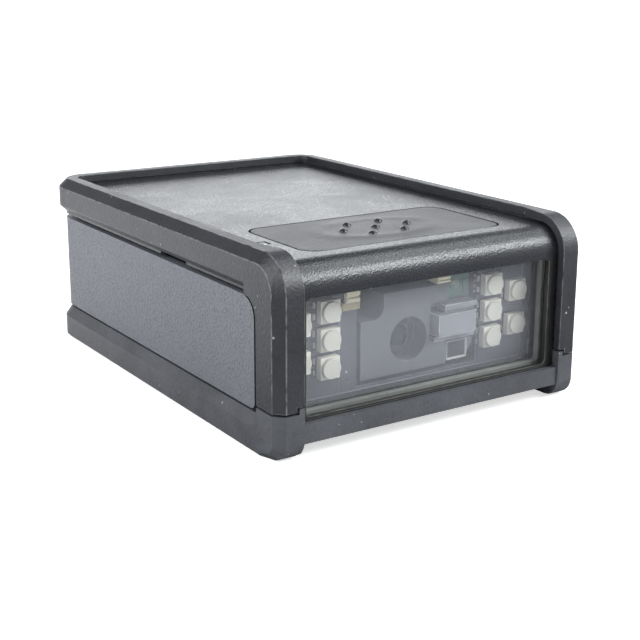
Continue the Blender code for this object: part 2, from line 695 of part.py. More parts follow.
# Top cover: recessed plate, brow over the window, skirt and two window pillars
top_cover = finish(
    "top_cover",
    nose_body(
        COVER_HALF,
        COVER_FRONT,
        COVER_REAR,
        REAR_CORNER_RADIUS - RIM_WIDTH,
        LEG_BOTTOM + FOOT_TAB_RISE,
        COVER_TOP,
        NOSE_RADIUS - RIM_RISE,
    ),
    CASE_GREY,
)
cut(
    top_cover,
    finish(
        "cover_inside",
        nose_body(
            COVER_INNER_HALF,
            COVER_FRONT + COVER_WALL,
            COVER_REAR - COVER_WALL,
            COVER_INNER_CORNER,
            -HEIGHT,
            COVER_UNDER,
            NOSE_RADIUS - RIM_RISE - COVER_WALL,
        ),
        None,
    ),
    block(
        "cover_over_jack",
        -JACK_WIDTH / 2 - GAP,
        JACK_WIDTH / 2 + GAP,
        JACK_FRONT - GAP,
        REAR + HALF,
        -HEIGHT,
        JACK_TOP + GAP,
    ),
    block(
        "below_skirt",
        -WIDTH,
        WIDTH,
        COVER_FRONT + PILLAR_DEPTH,
        LENGTH,
        -HEIGHT,
        TUB_TOP - SKIRT_LAP,
    ),
    finish(
        "window_opening",
        prism(
            rounded_rectangle(
                -WINDOW_HALF_WIDTH, WINDOW_HALF_WIDTH, -HEIGHT, WINDOW_TOP, WINDOW_CORNER_RADIUS, 4
            ),
            FRONT - HALF,
            COVER_FRONT + PILLAR_DEPTH / 2,
            "Y",
        ),
        None,
    ),
    block(
        "window_rabbet",
        -PANE_HALF - GAP,
        PANE_HALF + GAP,
        LIP_REAR,
        COVER_FRONT + PILLAR_DEPTH + GAP,
        -HEIGHT,
        PANE_TOP + GAP,
    ),
    finish(
        "pad_opening",
        prism(
            rounded_rectangle(
                -PAD_WIDTH / 2 - PAD_GAP,
                PAD_WIDTH / 2 + PAD_GAP,
                PAD_FRONT - PAD_GAP,
                PAD_BACK + PAD_GAP,
                PAD_CORNER_RADIUS + PAD_GAP,
            ),
            COVER_UNDER - GAP,
            HEIGHT,
        ),
        None,
    ),
    block(
        "light_opening",
        LIGHT_X - LIGHT_WIDTH / 2 - GAP,
        LIGHT_X + LIGHT_WIDTH / 2 + GAP,
        LIGHT_Y - LIGHT_LENGTH / 2 - GAP,
        LIGHT_Y + LIGHT_LENGTH / 2 + GAP,
        COVER_UNDER - GAP,
        HEIGHT,
    ),
)
for number, (x, y) in enumerate(CASE_SCREW_SPOTS, 1):
    boss = rod(f"cover_boss_{number}", (x, y), CASE_BOSS_RADIUS, POST_TOP + GAP, COVER_UNDER + COVER_WALL / 2)
    join(top_cover, boss)
    bore_top = BELLY_CLEARANCE + CASE_SCREW_HEAD + CASE_SCREW_LENGTH + 2 * GAP
    bore = rod(f"cover_bore_{number}", (x, y), CASE_SCREW_RADIUS + GAP, BELLY_CLEARANCE, bore_top)
    cut(top_cover, bore)
BUTTON_POSTS = [
    (-BUTTON_POST_X, BUTTON_BOARD_START + BUTTON_POST_RADIUS + GAP),
    (BUTTON_POST_X, BUTTON_BOARD_START + BUTTON_POST_RADIUS + GAP),
]
BUTTON_SCREW_TOP = COVER_UNDER - GAP
for number, (x, y) in enumerate(BUTTON_POSTS, 1):
    post = rod(
        f"button_post_{number}",
        (x, y),
        BUTTON_POST_RADIUS,
        BUTTON_BOARD_TOP + GAP,
        COVER_UNDER + COVER_WALL / 2,
    )
    join(top_cover, post)
    bore = rod(
        f"button_bore_{number}",
        (x, y),
        BUTTON_SCREW_RADIUS + GAP,
        BUTTON_BOARD_UNDER,
        BUTTON_SCREW_TOP,
        segments=12,
    )
    cut(top_cover, bore)

# Bottom tub: textured side panels over a narrower lower wall, with a shallow nose under the window
bottom_tub = finish(
    "bottom_tub",
    prism(
        u_outline(PANEL_HALF, PANEL_FRONT, PANEL_REAR, REAR_CORNER_RADIUS - PANEL_INSET),
        PANEL_BOTTOM,
        TUB_TOP,
    ),
    CASE_DARK,
)
lower_corner = REAR_CORNER_RADIUS - RAIL_THICKNESS - GAP
ledge = PANEL_BOTTOM + TUB_WALL
join(
    bottom_tub,
    finish(
        "lower_tub",
        prism(
            u_outline(LOWER_TUB_HALF, PANEL_FRONT, LOWER_TUB_REAR, lower_corner),
            BELLY_CLEARANCE,
            ledge - GAP,
        ),
        None,
    ),
)
cut(
    bottom_tub,
    finish(
        "upper_cavity",
        prism(
            u_outline(
                TUB_INNER_HALF, FRONT - HALF, PANEL_REAR - TUB_WALL, REAR_CORNER_RADIUS - PANEL_INSET - TUB_WALL
            ),
            ledge,
            2 * HEIGHT,
        ),
        None,
    ),
    finish(
        "lower_cavity",
        prism(
            u_outline(LOWER_INNER_HALF, FRONT - HALF, LOWER_TUB_REAR - TUB_WALL, lower_corner - TUB_WALL),
            FLOOR_TOP,
            ledge + TUB_WALL,
        ),
        None,
    ),
)
panel_corner = [(PANEL_FRONT - GAP, TUB_TOP + GAP), (PANEL_FRONT - GAP, TUB_TOP - PANEL_CORNER_RADIUS)]
for step in range(ROUND_SEGMENTS + 1):
    angle = math.radians(180 - 90 * step / ROUND_SEGMENTS)
    panel_corner.append(
        (
            PANEL_FRONT + PANEL_CORNER_RADIUS + PANEL_CORNER_RADIUS * math.cos(angle),
            TUB_TOP - PANEL_CORNER_RADIUS + PANEL_CORNER_RADIUS * math.sin(angle),
        )
    )
panel_corner.append((PANEL_FRONT + PANEL_CORNER_RADIUS, TUB_TOP + GAP))
cut(bottom_tub, finish("panel_corner", prism(panel_corner, -WIDTH, WIDTH, "X"), None))
nose_half = LEG_INNER + GAP / 2
rib_half = BOARD_HALF_WIDTH - LAMP_SIZE * 2
join(
    bottom_tub,
    block(
        "tub_nose",
        -nose_half,
        nose_half,
        COVER_FRONT,
        PANEL_FRONT + FLOOR_THICKNESS,
        NOSE_BOTTOM,
        NOSE_TOP,
    ),
    block("tub_sill", -nose_half, nose_half, COVER_FRONT, LIP_REAR, NOSE_BOTTOM, SILL_HEIGHT),
    block(
        "board_rib",
        -rib_half,
        rib_half,
        BOARD_FRONT - GAP / 2,
        BOARD_BACK + GAP / 2,
        NOSE_BOTTOM + GAP,
        BOARD_BOTTOM - GAP,
    ),
)
EAR_FRONT = HOLDER_BACK - EAR_DEPTH
EAR_TOP = HOLDER_BOTTOM + EAR_THICKNESS
EAR_SPOTS = [
    (HOLDER_LEFT - EAR_REACH / 2, HOLDER_BACK - EAR_DEPTH / 2),
    (AIMER_RIGHT + EAR_REACH / 2, HOLDER_BACK - EAR_DEPTH / 2),
]
IMAGER_SCREW_BOTTOM = FLOOR_TOP + GAP
BOARD_POSTS = [
    (-BOARD_POST_X, MAIN_BOARD_FRONT + BOARD_POST_END),
    (BOARD_POST_X, JACK_FRONT - BOARD_POST_END),
    (BOARD_POST_X, MAIN_BOARD_FRONT + BOARD_POST_END),
    (-BOARD_POST_X, JACK_FRONT - BOARD_POST_END),
]
BOARD_SCREW_BOTTOM = BELLY_CLEARANCE + FLOOR_THICKNESS / 2
for number, (x, y) in enumerate(EAR_SPOTS, 1):
    join(
        bottom_tub,
        rod(f"imager_post_{number}", (x, y), IMAGER_POST_RADIUS, FLOOR_TOP - GAP, HOLDER_BOTTOM - GAP),
    )
    cut(
        bottom_tub,
        rod(
            f"imager_bore_{number}",
            (x, y),
            IMAGER_SCREW_RADIUS + GAP,
            IMAGER_SCREW_BOTTOM - GAP,
            HOLDER_BOTTOM,
            segments=12,
        ),
    )
for number, (x, y) in enumerate(BOARD_POSTS, 1):
    join(
        bottom_tub,
        rod(f"board_post_{number}", (x, y), BOARD_POST_RADIUS, FLOOR_TOP - GAP, MAIN_BOARD_UNDER - GAP),
    )
for number, (x, y) in enumerate(BOARD_POSTS[:2], 1):
    cut(
        bottom_tub,
        rod(
            f"board_bore_{number}",
            (x, y),
            BOARD_SCREW_RADIUS + GAP,
            BOARD_SCREW_BOTTOM - GAP,
            MAIN_BOARD_TOP,
            segments=12,
        ),
    )
for number, (x, y) in enumerate(CASE_SCREW_SPOTS, 1):
    join(bottom_tub, rod(f"case_post_{number}", (x, y), CASE_POST_RADIUS, FLOOR_TOP - GAP, POST_TOP))
    cut(
        bottom_tub,
        rod(f"case_hole_{number}", (x, y), CASE_SCREW_RADIUS + GAP, -HEIGHT, POST_TOP + GAP),
        rod(
            f"case_recess_{number}",
            (x, y),
            CASE_SCREW_HEAD_RADIUS + GAP,
            -HEIGHT,
            BELLY_CLEARANCE + CASE_SCREW_HEAD + 2 * GAP,
        ),
    )
INSERT_SPOTS = [(-INSERT_X, INSERT_Y), (INSERT_X, INSERT_Y)]
for number, (x, y) in enumerate(INSERT_SPOTS, 1):
    join(
        bottom_tub,
        rod(
            f"insert_boss_{number}",
            (x, y),
            INSERT_RADIUS + GAP + INSERT_WALL,
            FLOOR_TOP - GAP,
            FLOOR_TOP + INSERT_BOSS_HEIGHT,
        ),
    )
    cut(
        bottom_tub,
        rod(
            f"insert_pocket_{number}",
            (x, y),
            INSERT_RADIUS + GAP,
            -HEIGHT,
            BELLY_CLEARANCE + INSERT_LENGTH + GAP,
        ),
    )
cut(
    bottom_tub,
    block(
        "jack_opening",
        -JACK_WIDTH / 2 - GAP,
        JACK_WIDTH / 2 + GAP,
        LOWER_TUB_REAR - 2 * TUB_WALL,
        REAR + HALF,
        max(JACK_BOTTOM - GAP, PANEL_BOTTOM + GAP),
        JACK_TOP + GAP,
    ),
)

# Lower boot: side and rear rails, front bar and the two corner feet in one moulding
BOOT_REAR = REAR - BOOT_REAR_INSET
BAR_TOP = BAR_BOTTOM + BAR_HEIGHT
FOOT_TAB_TOP = FOOT_HEIGHT + FOOT_TAB_RISE
lower_boot = finish(
    "lower_boot",
    nose_body(
        HALF,
        FRONT,
        BOOT_REAR,
        REAR_CORNER_RADIUS,
        0.0,
        FOOT_TAB_TOP,
        FOOT_NOSE_RADIUS,
        False,
        FOOT_EDGE_CHAMFER,
        6,
    ),
    RUBBER,
)
boot_inside_half = HALF - RAIL_THICKNESS
boot_inside = [
    (-nose_half - GAP, FRONT + BAR_RECESS + BAR_THICKNESS),
    (-nose_half - GAP, LEG_REAR),
] + u_outline(boot_inside_half, LEG_REAR, BOOT_REAR - RAIL_THICKNESS, REAR_CORNER_RADIUS - RAIL_THICKNESS)
boot_inside += [
    (nose_half + GAP, LEG_REAR),
    (nose_half + GAP, FRONT + BAR_RECESS + BAR_THICKNESS),
]
rail_clear = [
    (-RAIL_CHAMFER, RAIL_HEIGHT - 2 * RAIL_CHAMFER_DROP),
    (RAIL_CHAMFER, RAIL_HEIGHT),
    (RAIL_THICKNESS + RAIL_CHAMFER, RAIL_HEIGHT),
    (RAIL_THICKNESS + RAIL_CHAMFER, 2 * FOOT_HEIGHT),
    (-RAIL_CHAMFER, 2 * FOOT_HEIGHT),
]
cut(
    lower_boot,
    finish("boot_inside", prism(boot_inside, -HEIGHT, HEIGHT), None),
    finish("rail_clear", u_rail(rail_clear, HALF, LEG_REAR, BOOT_REAR, REAR_CORNER_RADIUS), None),
    block(
        "over_bar",
        -LEG_INNER,
        LEG_INNER,
        FRONT - GAP,
        LEG_REAR,
        BAR_TOP,
        HEIGHT,
    ),
    block(
        "under_bar",
        -LEG_INNER,
        LEG_INNER,
        FRONT - GAP,
        LEG_REAR,
        -HEIGHT,
        BAR_BOTTOM,
    ),
    block(
        "bar_recess",
        -LEG_INNER,
        LEG_INNER,
        FRONT - HALF,
        FRONT + BAR_RECESS,
        -HEIGHT,
        HEIGHT,
    ),
)
for side in (-1, 1):
    step_x = sorted((side * (LEG_INNER + FOOT_TAB_WIDTH), side * WIDTH))
    rail_top = RAIL_HEIGHT - RAIL_CHAMFER_DROP
    pocket = [(LEG_REAR - GAP, rail_top - GAP), (LEG_REAR + FOOT_POCKET_RADIUS, rail_top - GAP)]
    for step in range(ROUND_SEGMENTS + 1):
        angle = math.radians(90 * step / ROUND_SEGMENTS)
        pocket.append(
            (
                LEG_REAR + FOOT_POCKET_RADIUS * (1 - math.sin(angle)),
                rail_top + FOOT_POCKET_RADIUS * (1 - math.cos(angle)),
            )
        )
    pocket.append((LEG_REAR - GAP, rail_top + FOOT_POCKET_RADIUS))
    wall_x = sorted((side * HALF, side * (HALF - FOOT_POCKET_WALL)))
    pocket_name = "foot_pocket_right" if side > 0 else "foot_pocket_left"
    join(lower_boot, finish(pocket_name, prism(pocket, *wall_x, "X"), None))
    cut(
        lower_boot,
        finish(
            "foot_corner_right" if side > 0 else "foot_corner_left",
            corner_cutter(
                side,
                HALF,
                FRONT,
                2 * FOOT_TAB_TOP,
                FOOT_NOSE_RADIUS,
                EDGE_CHAMFER,
                FOOT_CORNER_CHAMFER,
                FOOT_CORNER_RUN,
                GAP,
            ),
            None,
        ),
        block(
            "foot_step_right" if side > 0 else "foot_step_left",
            step_x[0],
            step_x[1],
            FRONT - GAP,
            LEG_REAR + GAP,
            FOOT_HEIGHT,
            2 * HEIGHT,
        ),
    )

# Window pane and the seal frame behind it
block(
    "window_pane",
    -PANE_HALF,
    PANE_HALF,
    PANE_FRONT,
    PANE_BACK,
    PANE_BOTTOM,
    PANE_TOP,
    CLEAR,
)
window_seal = block(
    "window_seal",
    -PANE_HALF,
    PANE_HALF,
    SEAL_FRONT,
    SEAL_BACK,
    PANE_BOTTOM,
    PANE_TOP,
    SEAL_GREY,
)
cut(
    window_seal,
    block(
        "seal_inside",
        -WINDOW_HALF_WIDTH - SEAL_INNER_STEP,
        WINDOW_HALF_WIDTH + SEAL_INNER_STEP,
        SEAL_FRONT - GAP,
        SEAL_BACK + GAP,
        SILL_HEIGHT + SEAL_SILL_RISE,
        WINDOW_TOP + SEAL_INNER_STEP,
    ),
)

# Trigger pad with tongues under the plate, a nub over the switch and seven raised dots
trigger_pad = finish(
    "trigger_pad",
    prism(
        rounded_rectangle(
            -PAD_WIDTH / 2, PAD_WIDTH / 2, PAD_FRONT, PAD_BACK, PAD_CORNER_RADIUS
        ),
        PAD_UNDER,
        COVER_TOP,
    ),
    PAD_RUBBER,
    origin=(0.0, PAD_Y, COVER_TOP),
)
join(
    trigger_pad,
    block(
        "pad_tongue",
        -PAD_WIDTH / 2 + PAD_TONGUE_MARGIN,
        PAD_WIDTH / 2 - PAD_TONGUE_MARGIN,
        PAD_FRONT - PAD_TONGUE_REACH,
        PAD_BACK + PAD_TONGUE_REACH,
        TONGUE_BOTTOM,
        PAD_UNDER,
    ),
    rod("pad_nub", (0.0, PAD_Y), NUB_RADIUS, NUB_BOTTOM, PAD_UNDER + GAP),
)
dot_spots = [(column * DOT_SPACING_X, 0.0) for column in (-1, 0, 1)]
for row in (-1, 1):
    dot_spots += [(half_step * DOT_SPACING_X / 2, row * DOT_SPACING_Y) for half_step in (-1, 1)]
for number, (x, y) in enumerate(dot_spots, 1):
    dot = rod(
        f"pad_dot_{number}",
        (x, PAD_Y + y),
        DOT_RADIUS,
        COVER_TOP - GAP,
        COVER_TOP + DOT_HEIGHT,
        segments=12,
    )
    join(trigger_pad, dot)

# Switch under the pad, on its own small board
trigger_switch = block(
    "trigger_switch",
    -SWITCH_WIDTH / 2,
    SWITCH_WIDTH / 2,
    PAD_Y - SWITCH_WIDTH / 2,
    PAD_Y + SWITCH_WIDTH / 2,
    SWITCH_BOTTOM,
    SWITCH_TOP,
    CHIP_BLACK,
)
cut(
    trigger_switch,
    rod(
        "plunger_hole",
        (0.0, PAD_Y),
        PLUNGER_RADIUS + GAP,
        SWITCH_TOP - PLUNGER_HOLE_DEPTH,
        SWITCH_TOP + GAP,
    ),
)
finish(
    "switch_plunger",
    prism(circle((0.0, PAD_Y), PLUNGER_RADIUS, 20), PLUNGER_BOTTOM, PLUNGER_TOP),
    FROSTED,
    origin=(0.0, PAD_Y, PLUNGER_TOP),
    smooth=True,
)
button_board = block(
    "button_board",
    -BOARD_HALF_WIDTH,
    BOARD_HALF_WIDTH,
    BUTTON_BOARD_START,
    BUTTON_BOARD_START + BUTTON_BOARD_LENGTH,
    BUTTON_BOARD_UNDER,
    BUTTON_BOARD_TOP,
    BOARD_GREEN,
)


def screw(name, x, y, radius, head_radius, head_low, head_high, tip):
    """A pan head with its shank running from the head to the tip."""
    piece = rod(name, (x, y), head_radius, head_low, head_high, surface=STEEL)
    upward = tip > head_high
    start = head_high - 0.2 * MM if upward else head_low + 0.2 * MM
    shank = rod(f"{name}_shank", (x, y), radius, min(start, tip), max(start, tip), segments=16)
    join(piece, shank)
    return piece


for number, (x, y) in enumerate(BUTTON_POSTS, 1):
    cut(
        button_board,
        rod(
            f"button_board_hole_{number}",
            (x, y),
            BUTTON_SCREW_RADIUS + GAP,
            BUTTON_BOARD_UNDER - GAP,
            BUTTON_BOARD_TOP + GAP,
            segments=12,
        ),
    )
    screw(
        f"button_board_screw_{number}",
        x,
        y,
        BUTTON_SCREW_RADIUS,
        BUTTON_SCREW_HEAD_RADIUS,
        BUTTON_BOARD_UNDER - GAP - SMALL_SCREW_HEAD,
        BUTTON_BOARD_UNDER - GAP,
        BUTTON_SCREW_TOP - GAP,
    )

# Status light: lamp on the board and a light pipe through the plate
block(
    "status_lamp",
    LIGHT_X - LIGHT_WIDTH / 2,
    LIGHT_X + LIGHT_WIDTH / 2,
    LIGHT_Y - LIGHT_LENGTH / 2,
    LIGHT_Y + LIGHT_LENGTH / 2,
    BUTTON_BOARD_TOP + GAP,
    BUTTON_BOARD_TOP + GAP + STATUS_LAMP_HEIGHT,
    FROSTED,
)
light_pipe = block(
    "status_light_pipe",
    LIGHT_X - LIGHT_WIDTH / 2,
    LIGHT_X + LIGHT_WIDTH / 2,
    LIGHT_Y - LIGHT_LENGTH / 2,
    LIGHT_Y + LIGHT_LENGTH / 2,
    BUTTON_BOARD_TOP + 2 * GAP + STATUS_LAMP_HEIGHT,
    COVER_TOP,
    FROSTED,
)
join(
    light_pipe,
    block(
        "light_collar",
        LIGHT_X - LIGHT_WIDTH / 2 - LIGHT_COLLAR,
        LIGHT_X + LIGHT_WIDTH / 2 + LIGHT_COLLAR,
        LIGHT_Y - LIGHT_LENGTH / 2 - LIGHT_COLLAR,
        LIGHT_Y + LIGHT_LENGTH / 2 + LIGHT_COLLAR,
        COVER_UNDER - GAP - LIGHT_COLLAR_THICKNESS,
        COVER_UNDER - GAP,
    ),
)

# Illumination board, cut away round the imager, with five lamps on each side
illumination_board = block(
    "illumination_board",
    -BOARD_HALF_WIDTH,
    BOARD_HALF_WIDTH,
    BOARD_FRONT,
    BOARD_BACK,
    BOARD_BOTTOM,
    BOARD_TOP,
    BOARD_DARK,
)
cut(
    illumination_board,
    block(
        "imager_cutout",
        HOLDER_LEFT - GAP,
        AIMER_RIGHT + GAP,
        BOARD_FRONT - GAP,
        BOARD_BACK + GAP,
        BOARD_BOTTOM + BOARD_STRIP,
        2 * HEIGHT,
    ),
)


def lamp_column(count, x, drop, pitch):
    """Lamp centres down the board from its top edge."""
    return [(x, BOARD_TOP - drop - pitch * index) for index in range(count)]


LEFT_LAMPS = lamp_column(LEFT_INNER_LAMPS, LEFT_INNER_X, LEFT_INNER_DROP, LEFT_INNER_PITCH)
LEFT_LAMPS += lamp_column(LEFT_OUTER_LAMPS, LEFT_OUTER_X, LEFT_OUTER_DROP, LEFT_OUTER_PITCH)
RIGHT_LAMPS = lamp_column(RIGHT_INNER_LAMPS, RIGHT_INNER_X, RIGHT_INNER_DROP, RIGHT_INNER_PITCH)
RIGHT_LAMPS += lamp_column(RIGHT_OUTER_LAMPS, RIGHT_OUTER_X, RIGHT_OUTER_DROP, RIGHT_OUTER_PITCH)
lamp_back = BOARD_FRONT - GAP
for side, spots in (("left", LEFT_LAMPS), ("right", RIGHT_LAMPS)):
    for number, (x, z) in enumerate(spots, 1):
        lamp = block(
            f"lamp_{side}_{number}",
            x - LAMP_SIZE / 2,
            x + LAMP_SIZE / 2,
            lamp_back - LAMP_BASE_DEPTH,
            lamp_back,
            z - LAMP_SIZE / 2,
            z + LAMP_SIZE / 2,
            LAMP_CREAM,
        )
        dome = rod(
            f"lamp_dome_{side}_{number}",
            (x, z),
            LAMP_DOME_RADIUS,
            lamp_back - LAMP_BASE_DEPTH - LAMP_DOME_DEPTH,
            lamp_back - LAMP_BASE_DEPTH / 2,
            "Y",
            16,
        )
        join(lamp, dome)

# Imager holder: stepped block with the camera bore, and the aimer's shorter block beside it
holder_outline = [
    (HOLDER_LEFT, HOLDER_BOTTOM),
    (HOLDER_RIGHT, HOLDER_BOTTOM),
    (HOLDER_RIGHT, HOLDER_TOP),
    (HOLDER_STEP_X, HOLDER_TOP),
]
step_radius = min(HOLDER_TOP - HOLDER_STEP_TOP, HOLDER_STEP_X - HOLDER_LEFT) / 2
for step in range(6):
    angle = math.radians(90 * step / 5)
    holder_outline.append(
        (
            HOLDER_STEP_X - step_radius + step_radius * math.cos(angle),
            HOLDER_STEP_TOP + step_radius - step_radius * math.sin(angle),
        )
    )
holder_outline.append((HOLDER_LEFT, HOLDER_STEP_TOP))
imager_holder = finish(
    "imager_holder",
    prism(holder_outline, HOLDER_FRONT, HOLDER_BACK, "Y"),
    IMAGER_GREY,
)
ear_low = HOLDER_LEFT - EAR_REACH
ear_high = AIMER_RIGHT + EAR_REACH
join(
    imager_holder,
    block(
        "aimer_block",
        HOLDER_RIGHT - GAP,
        AIMER_RIGHT,
        AIMER_FACE,
        HOLDER_BACK,
        HOLDER_BOTTOM,
        AIMER_TOP,
    ),
    block("holder_ears", ear_low, ear_high, EAR_FRONT, HOLDER_BACK, HOLDER_BOTTOM, EAR_TOP),
)
AIMER_LAMP_Z = AIMER_LENS_BOTTOM + AIMER_LENS_HEIGHT / 2
cut(
    imager_holder,
    rod(
        "camera_bore",
        (APERTURE_X, APERTURE_Z),
        APERTURE_RADIUS,
        HOLDER_FRONT - GAP,
        HOLDER_BACK + GAP,
        "Y",
        28,
    ),
    block(
        "sensor_pocket",
        HOLDER_LEFT + HOLDER_WALL,
        HOLDER_RIGHT - HOLDER_WALL,
        HOLDER_BACK - SENSOR_POCKET_DEPTH,
        HOLDER_BACK + GAP,
        HOLDER_BOTTOM + HOLDER_WALL,
        HOLDER_STEP_TOP - HOLDER_WALL,
    ),
    block(
        "aimer_notch",
        AIMER_NOTCH_LEFT,
        HOLDER_RIGHT + GAP,
        HOLDER_FRONT - GAP,
        AIMER_FACE,
        AIMER_LENS_BOTTOM - GAP,
        AIMER_LENS_BOTTOM + AIMER_LENS_HEIGHT + GAP,
    ),
    block(
        "aimer_pocket",
        AIMER_LENS_X - AIMER_LAMP_SIZE / 2 - GAP,
        AIMER_LENS_X + AIMER_LAMP_SIZE / 2 + GAP,
        AIMER_FACE - GAP,
        AIMER_FACE + AIMER_POCKET_DEPTH,
        AIMER_LAMP_Z - AIMER_LAMP_SIZE / 2 - GAP,
        AIMER_LAMP_Z + AIMER_LAMP_SIZE / 2 + GAP,
    ),
)
for number, (x, y) in enumerate(EAR_SPOTS, 1):
    cut(
        imager_holder,
        rod(
            f"ear_hole_{number}",
            (x, y),
            IMAGER_SCREW_RADIUS + GAP,
            HOLDER_BOTTOM - GAP,
            EAR_TOP + GAP,
            segments=12,
        ),
    )
    screw(
        f"imager_screw_{number}",
        x,
        y,
        IMAGER_SCREW_RADIUS,
        IMAGER_SCREW_HEAD_RADIUS,
        EAR_TOP + GAP,
        EAR_TOP + GAP + SMALL_SCREW_HEAD,
        IMAGER_SCREW_BOTTOM,
    )

# Lens barrel with its glass, and the image sensor behind it
barrel_radius = APERTURE_RADIUS - GAP
barrel_front = HOLDER_FRONT + BARREL_SETBACK
barrel = rod(
    "lens_barrel",
    (APERTURE_X, APERTURE_Z),
    barrel_radius,
    barrel_front,
    barrel_front + BARREL_LENGTH,
    "Y",
    24,
    LENS_BLACK,
)
glass_radius = barrel_radius - GAP * 2
cut(
    barrel,
    rod(
        "barrel_bore",
        (APERTURE_X, APERTURE_Z),
        BARREL_BORE,
        barrel_front - GAP,
        barrel_front + BARREL_LENGTH + GAP,
        "Y",
        24,
    ),
    rod(
        "glass_seat",
        (APERTURE_X, APERTURE_Z),
        glass_radius + GAP / 3,
        barrel_front - GAP,
        barrel_front + LENS_THICKNESS + 2 * GAP,
        "Y",
        24,
    ),
)
glass = bmesh.new()
bmesh.ops.create_uvsphere(glass, u_segments=20, v_segments=10, radius=1.0)
bmesh.ops.scale(glass, vec=(glass_radius, glass_radius, LENS_THICKNESS / 2), verts=glass.verts)
bmesh.ops.rotate(glass, cent=(0, 0, 0), matrix=Matrix.Rotation(math.radians(90), 3, "X"), verts=glass.verts)
bmesh.ops.translate(
    glass, vec=(APERTURE_X, barrel_front + GAP + LENS_THICKNESS / 2, APERTURE_Z), verts=glass.verts
)
finish("front_lens", glass, CLEAR, smooth=True)
block(
    "image_sensor",
    APERTURE_X - SENSOR_CHIP_SIZE / 2,
    APERTURE_X + SENSOR_CHIP_SIZE / 2,
    SENSOR_BOARD_FRONT - GAP - SENSOR_CHIP_THICKNESS,
    SENSOR_BOARD_FRONT - GAP,
    APERTURE_Z - SENSOR_CHIP_SIZE / 2,
    APERTURE_Z + SENSOR_CHIP_SIZE / 2,
    CHIP_BLACK,
)
SENSOR_BOARD_TOP = BUTTON_BOARD_UNDER - GAP
block(
    "sensor_board",
    -SENSOR_BOARD_HALF_WIDTH,
    SENSOR_BOARD_HALF_WIDTH,
    SENSOR_BOARD_FRONT,
    SENSOR_BOARD_BACK,
    SENSOR_BOARD_BOTTOM,
    SENSOR_BOARD_TOP,
    BOARD_GREEN,
)

# Aimer lens, a flat-fronted block with rounded corners, its lamp, and the framed light sensor below
lens_back = AIMER_FACE - GAP
lens_front = lens_back - AIMER_LENS_DEPTH
aimer_outline = [(AIMER_LENS_LEFT, lens_back), (AIMER_LENS_RIGHT, lens_back)]
for centre_x, start in ((AIMER_LENS_RIGHT - AIMER_LENS_CORNER, 0), (AIMER_LENS_LEFT + AIMER_LENS_CORNER, -90)):
    for step in range(LENS_CORNER_STEPS + 1):
        angle = math.radians(start - 90 * step / LENS_CORNER_STEPS)
        aimer_outline.append(
            (
                centre_x + AIMER_LENS_CORNER * math.cos(angle),
                lens_front + AIMER_LENS_CORNER + AIMER_LENS_CORNER * math.sin(angle),
            )
        )
finish(
    "aimer_lens",
    prism(aimer_outline, AIMER_LENS_BOTTOM, AIMER_LENS_BOTTOM + AIMER_LENS_HEIGHT),
    CLEAR,
    smooth=True,
)
block(
    "aimer_lamp",
    AIMER_LENS_X - AIMER_LAMP_SIZE / 2,
    AIMER_LENS_X + AIMER_LAMP_SIZE / 2,
    AIMER_FACE + AIMER_POCKET_DEPTH - GAP - AIMER_LAMP_DEPTH,
    AIMER_FACE + AIMER_POCKET_DEPTH - GAP,
    AIMER_LAMP_Z - AIMER_LAMP_SIZE / 2,
    AIMER_LAMP_Z + AIMER_LAMP_SIZE / 2,
    FROSTED,
)
light_sensor = block(
    "light_sensor",
    LIGHT_SENSOR_X - LIGHT_SENSOR_WIDTH / 2,
    LIGHT_SENSOR_X + LIGHT_SENSOR_WIDTH / 2,
    AIMER_FACE - GAP - LIGHT_SENSOR_DEPTH,
    AIMER_FACE - GAP,
    LIGHT_SENSOR_BOTTOM,
    LIGHT_SENSOR_BOTTOM + LIGHT_SENSOR_HEIGHT,
    LAMP_CREAM,
)
cut(
    light_sensor,
    block(
        "light_sensor_window",
        LIGHT_SENSOR_X - LIGHT_SENSOR_WIDTH / 2 + LIGHT_SENSOR_FRAME,
        LIGHT_SENSOR_X + LIGHT_SENSOR_WIDTH / 2 - LIGHT_SENSOR_FRAME,
        AIMER_FACE - 2 * GAP - LIGHT_SENSOR_DEPTH,
        AIMER_FACE - GAP - LIGHT_SENSOR_DEPTH / 2,
        LIGHT_SENSOR_BOTTOM + LIGHT_SENSOR_FRAME,
        LIGHT_SENSOR_BOTTOM + LIGHT_SENSOR_HEIGHT - LIGHT_SENSOR_FRAME,
    ),
)
block(
    "illumination_connector",
    HOLDER_LEFT - GAP - CONNECTOR_DEPTH * 1.5,
    HOLDER_LEFT - GAP * 2,
    BOARD_FRONT - GAP - CONNECTOR_DEPTH / 2,
    BOARD_FRONT - GAP,
    BOARD_TOP - 2 * CONNECTOR_HEIGHT - GAP,
    BOARD_TOP - CONNECTOR_HEIGHT,
    GILT,
)
block(
    "sensor_connector",
    HOLDER_RIGHT - CONNECTOR_DEPTH * 1.4,
    HOLDER_RIGHT,
    BUTTON_BOARD_START - GAP - CONNECTOR_DEPTH * 1.5,
    BUTTON_BOARD_START - GAP,
    HOLDER_TOP + GAP,
    HOLDER_TOP + GAP + CONNECTOR_HEIGHT,
    LAMP_CREAM,
)

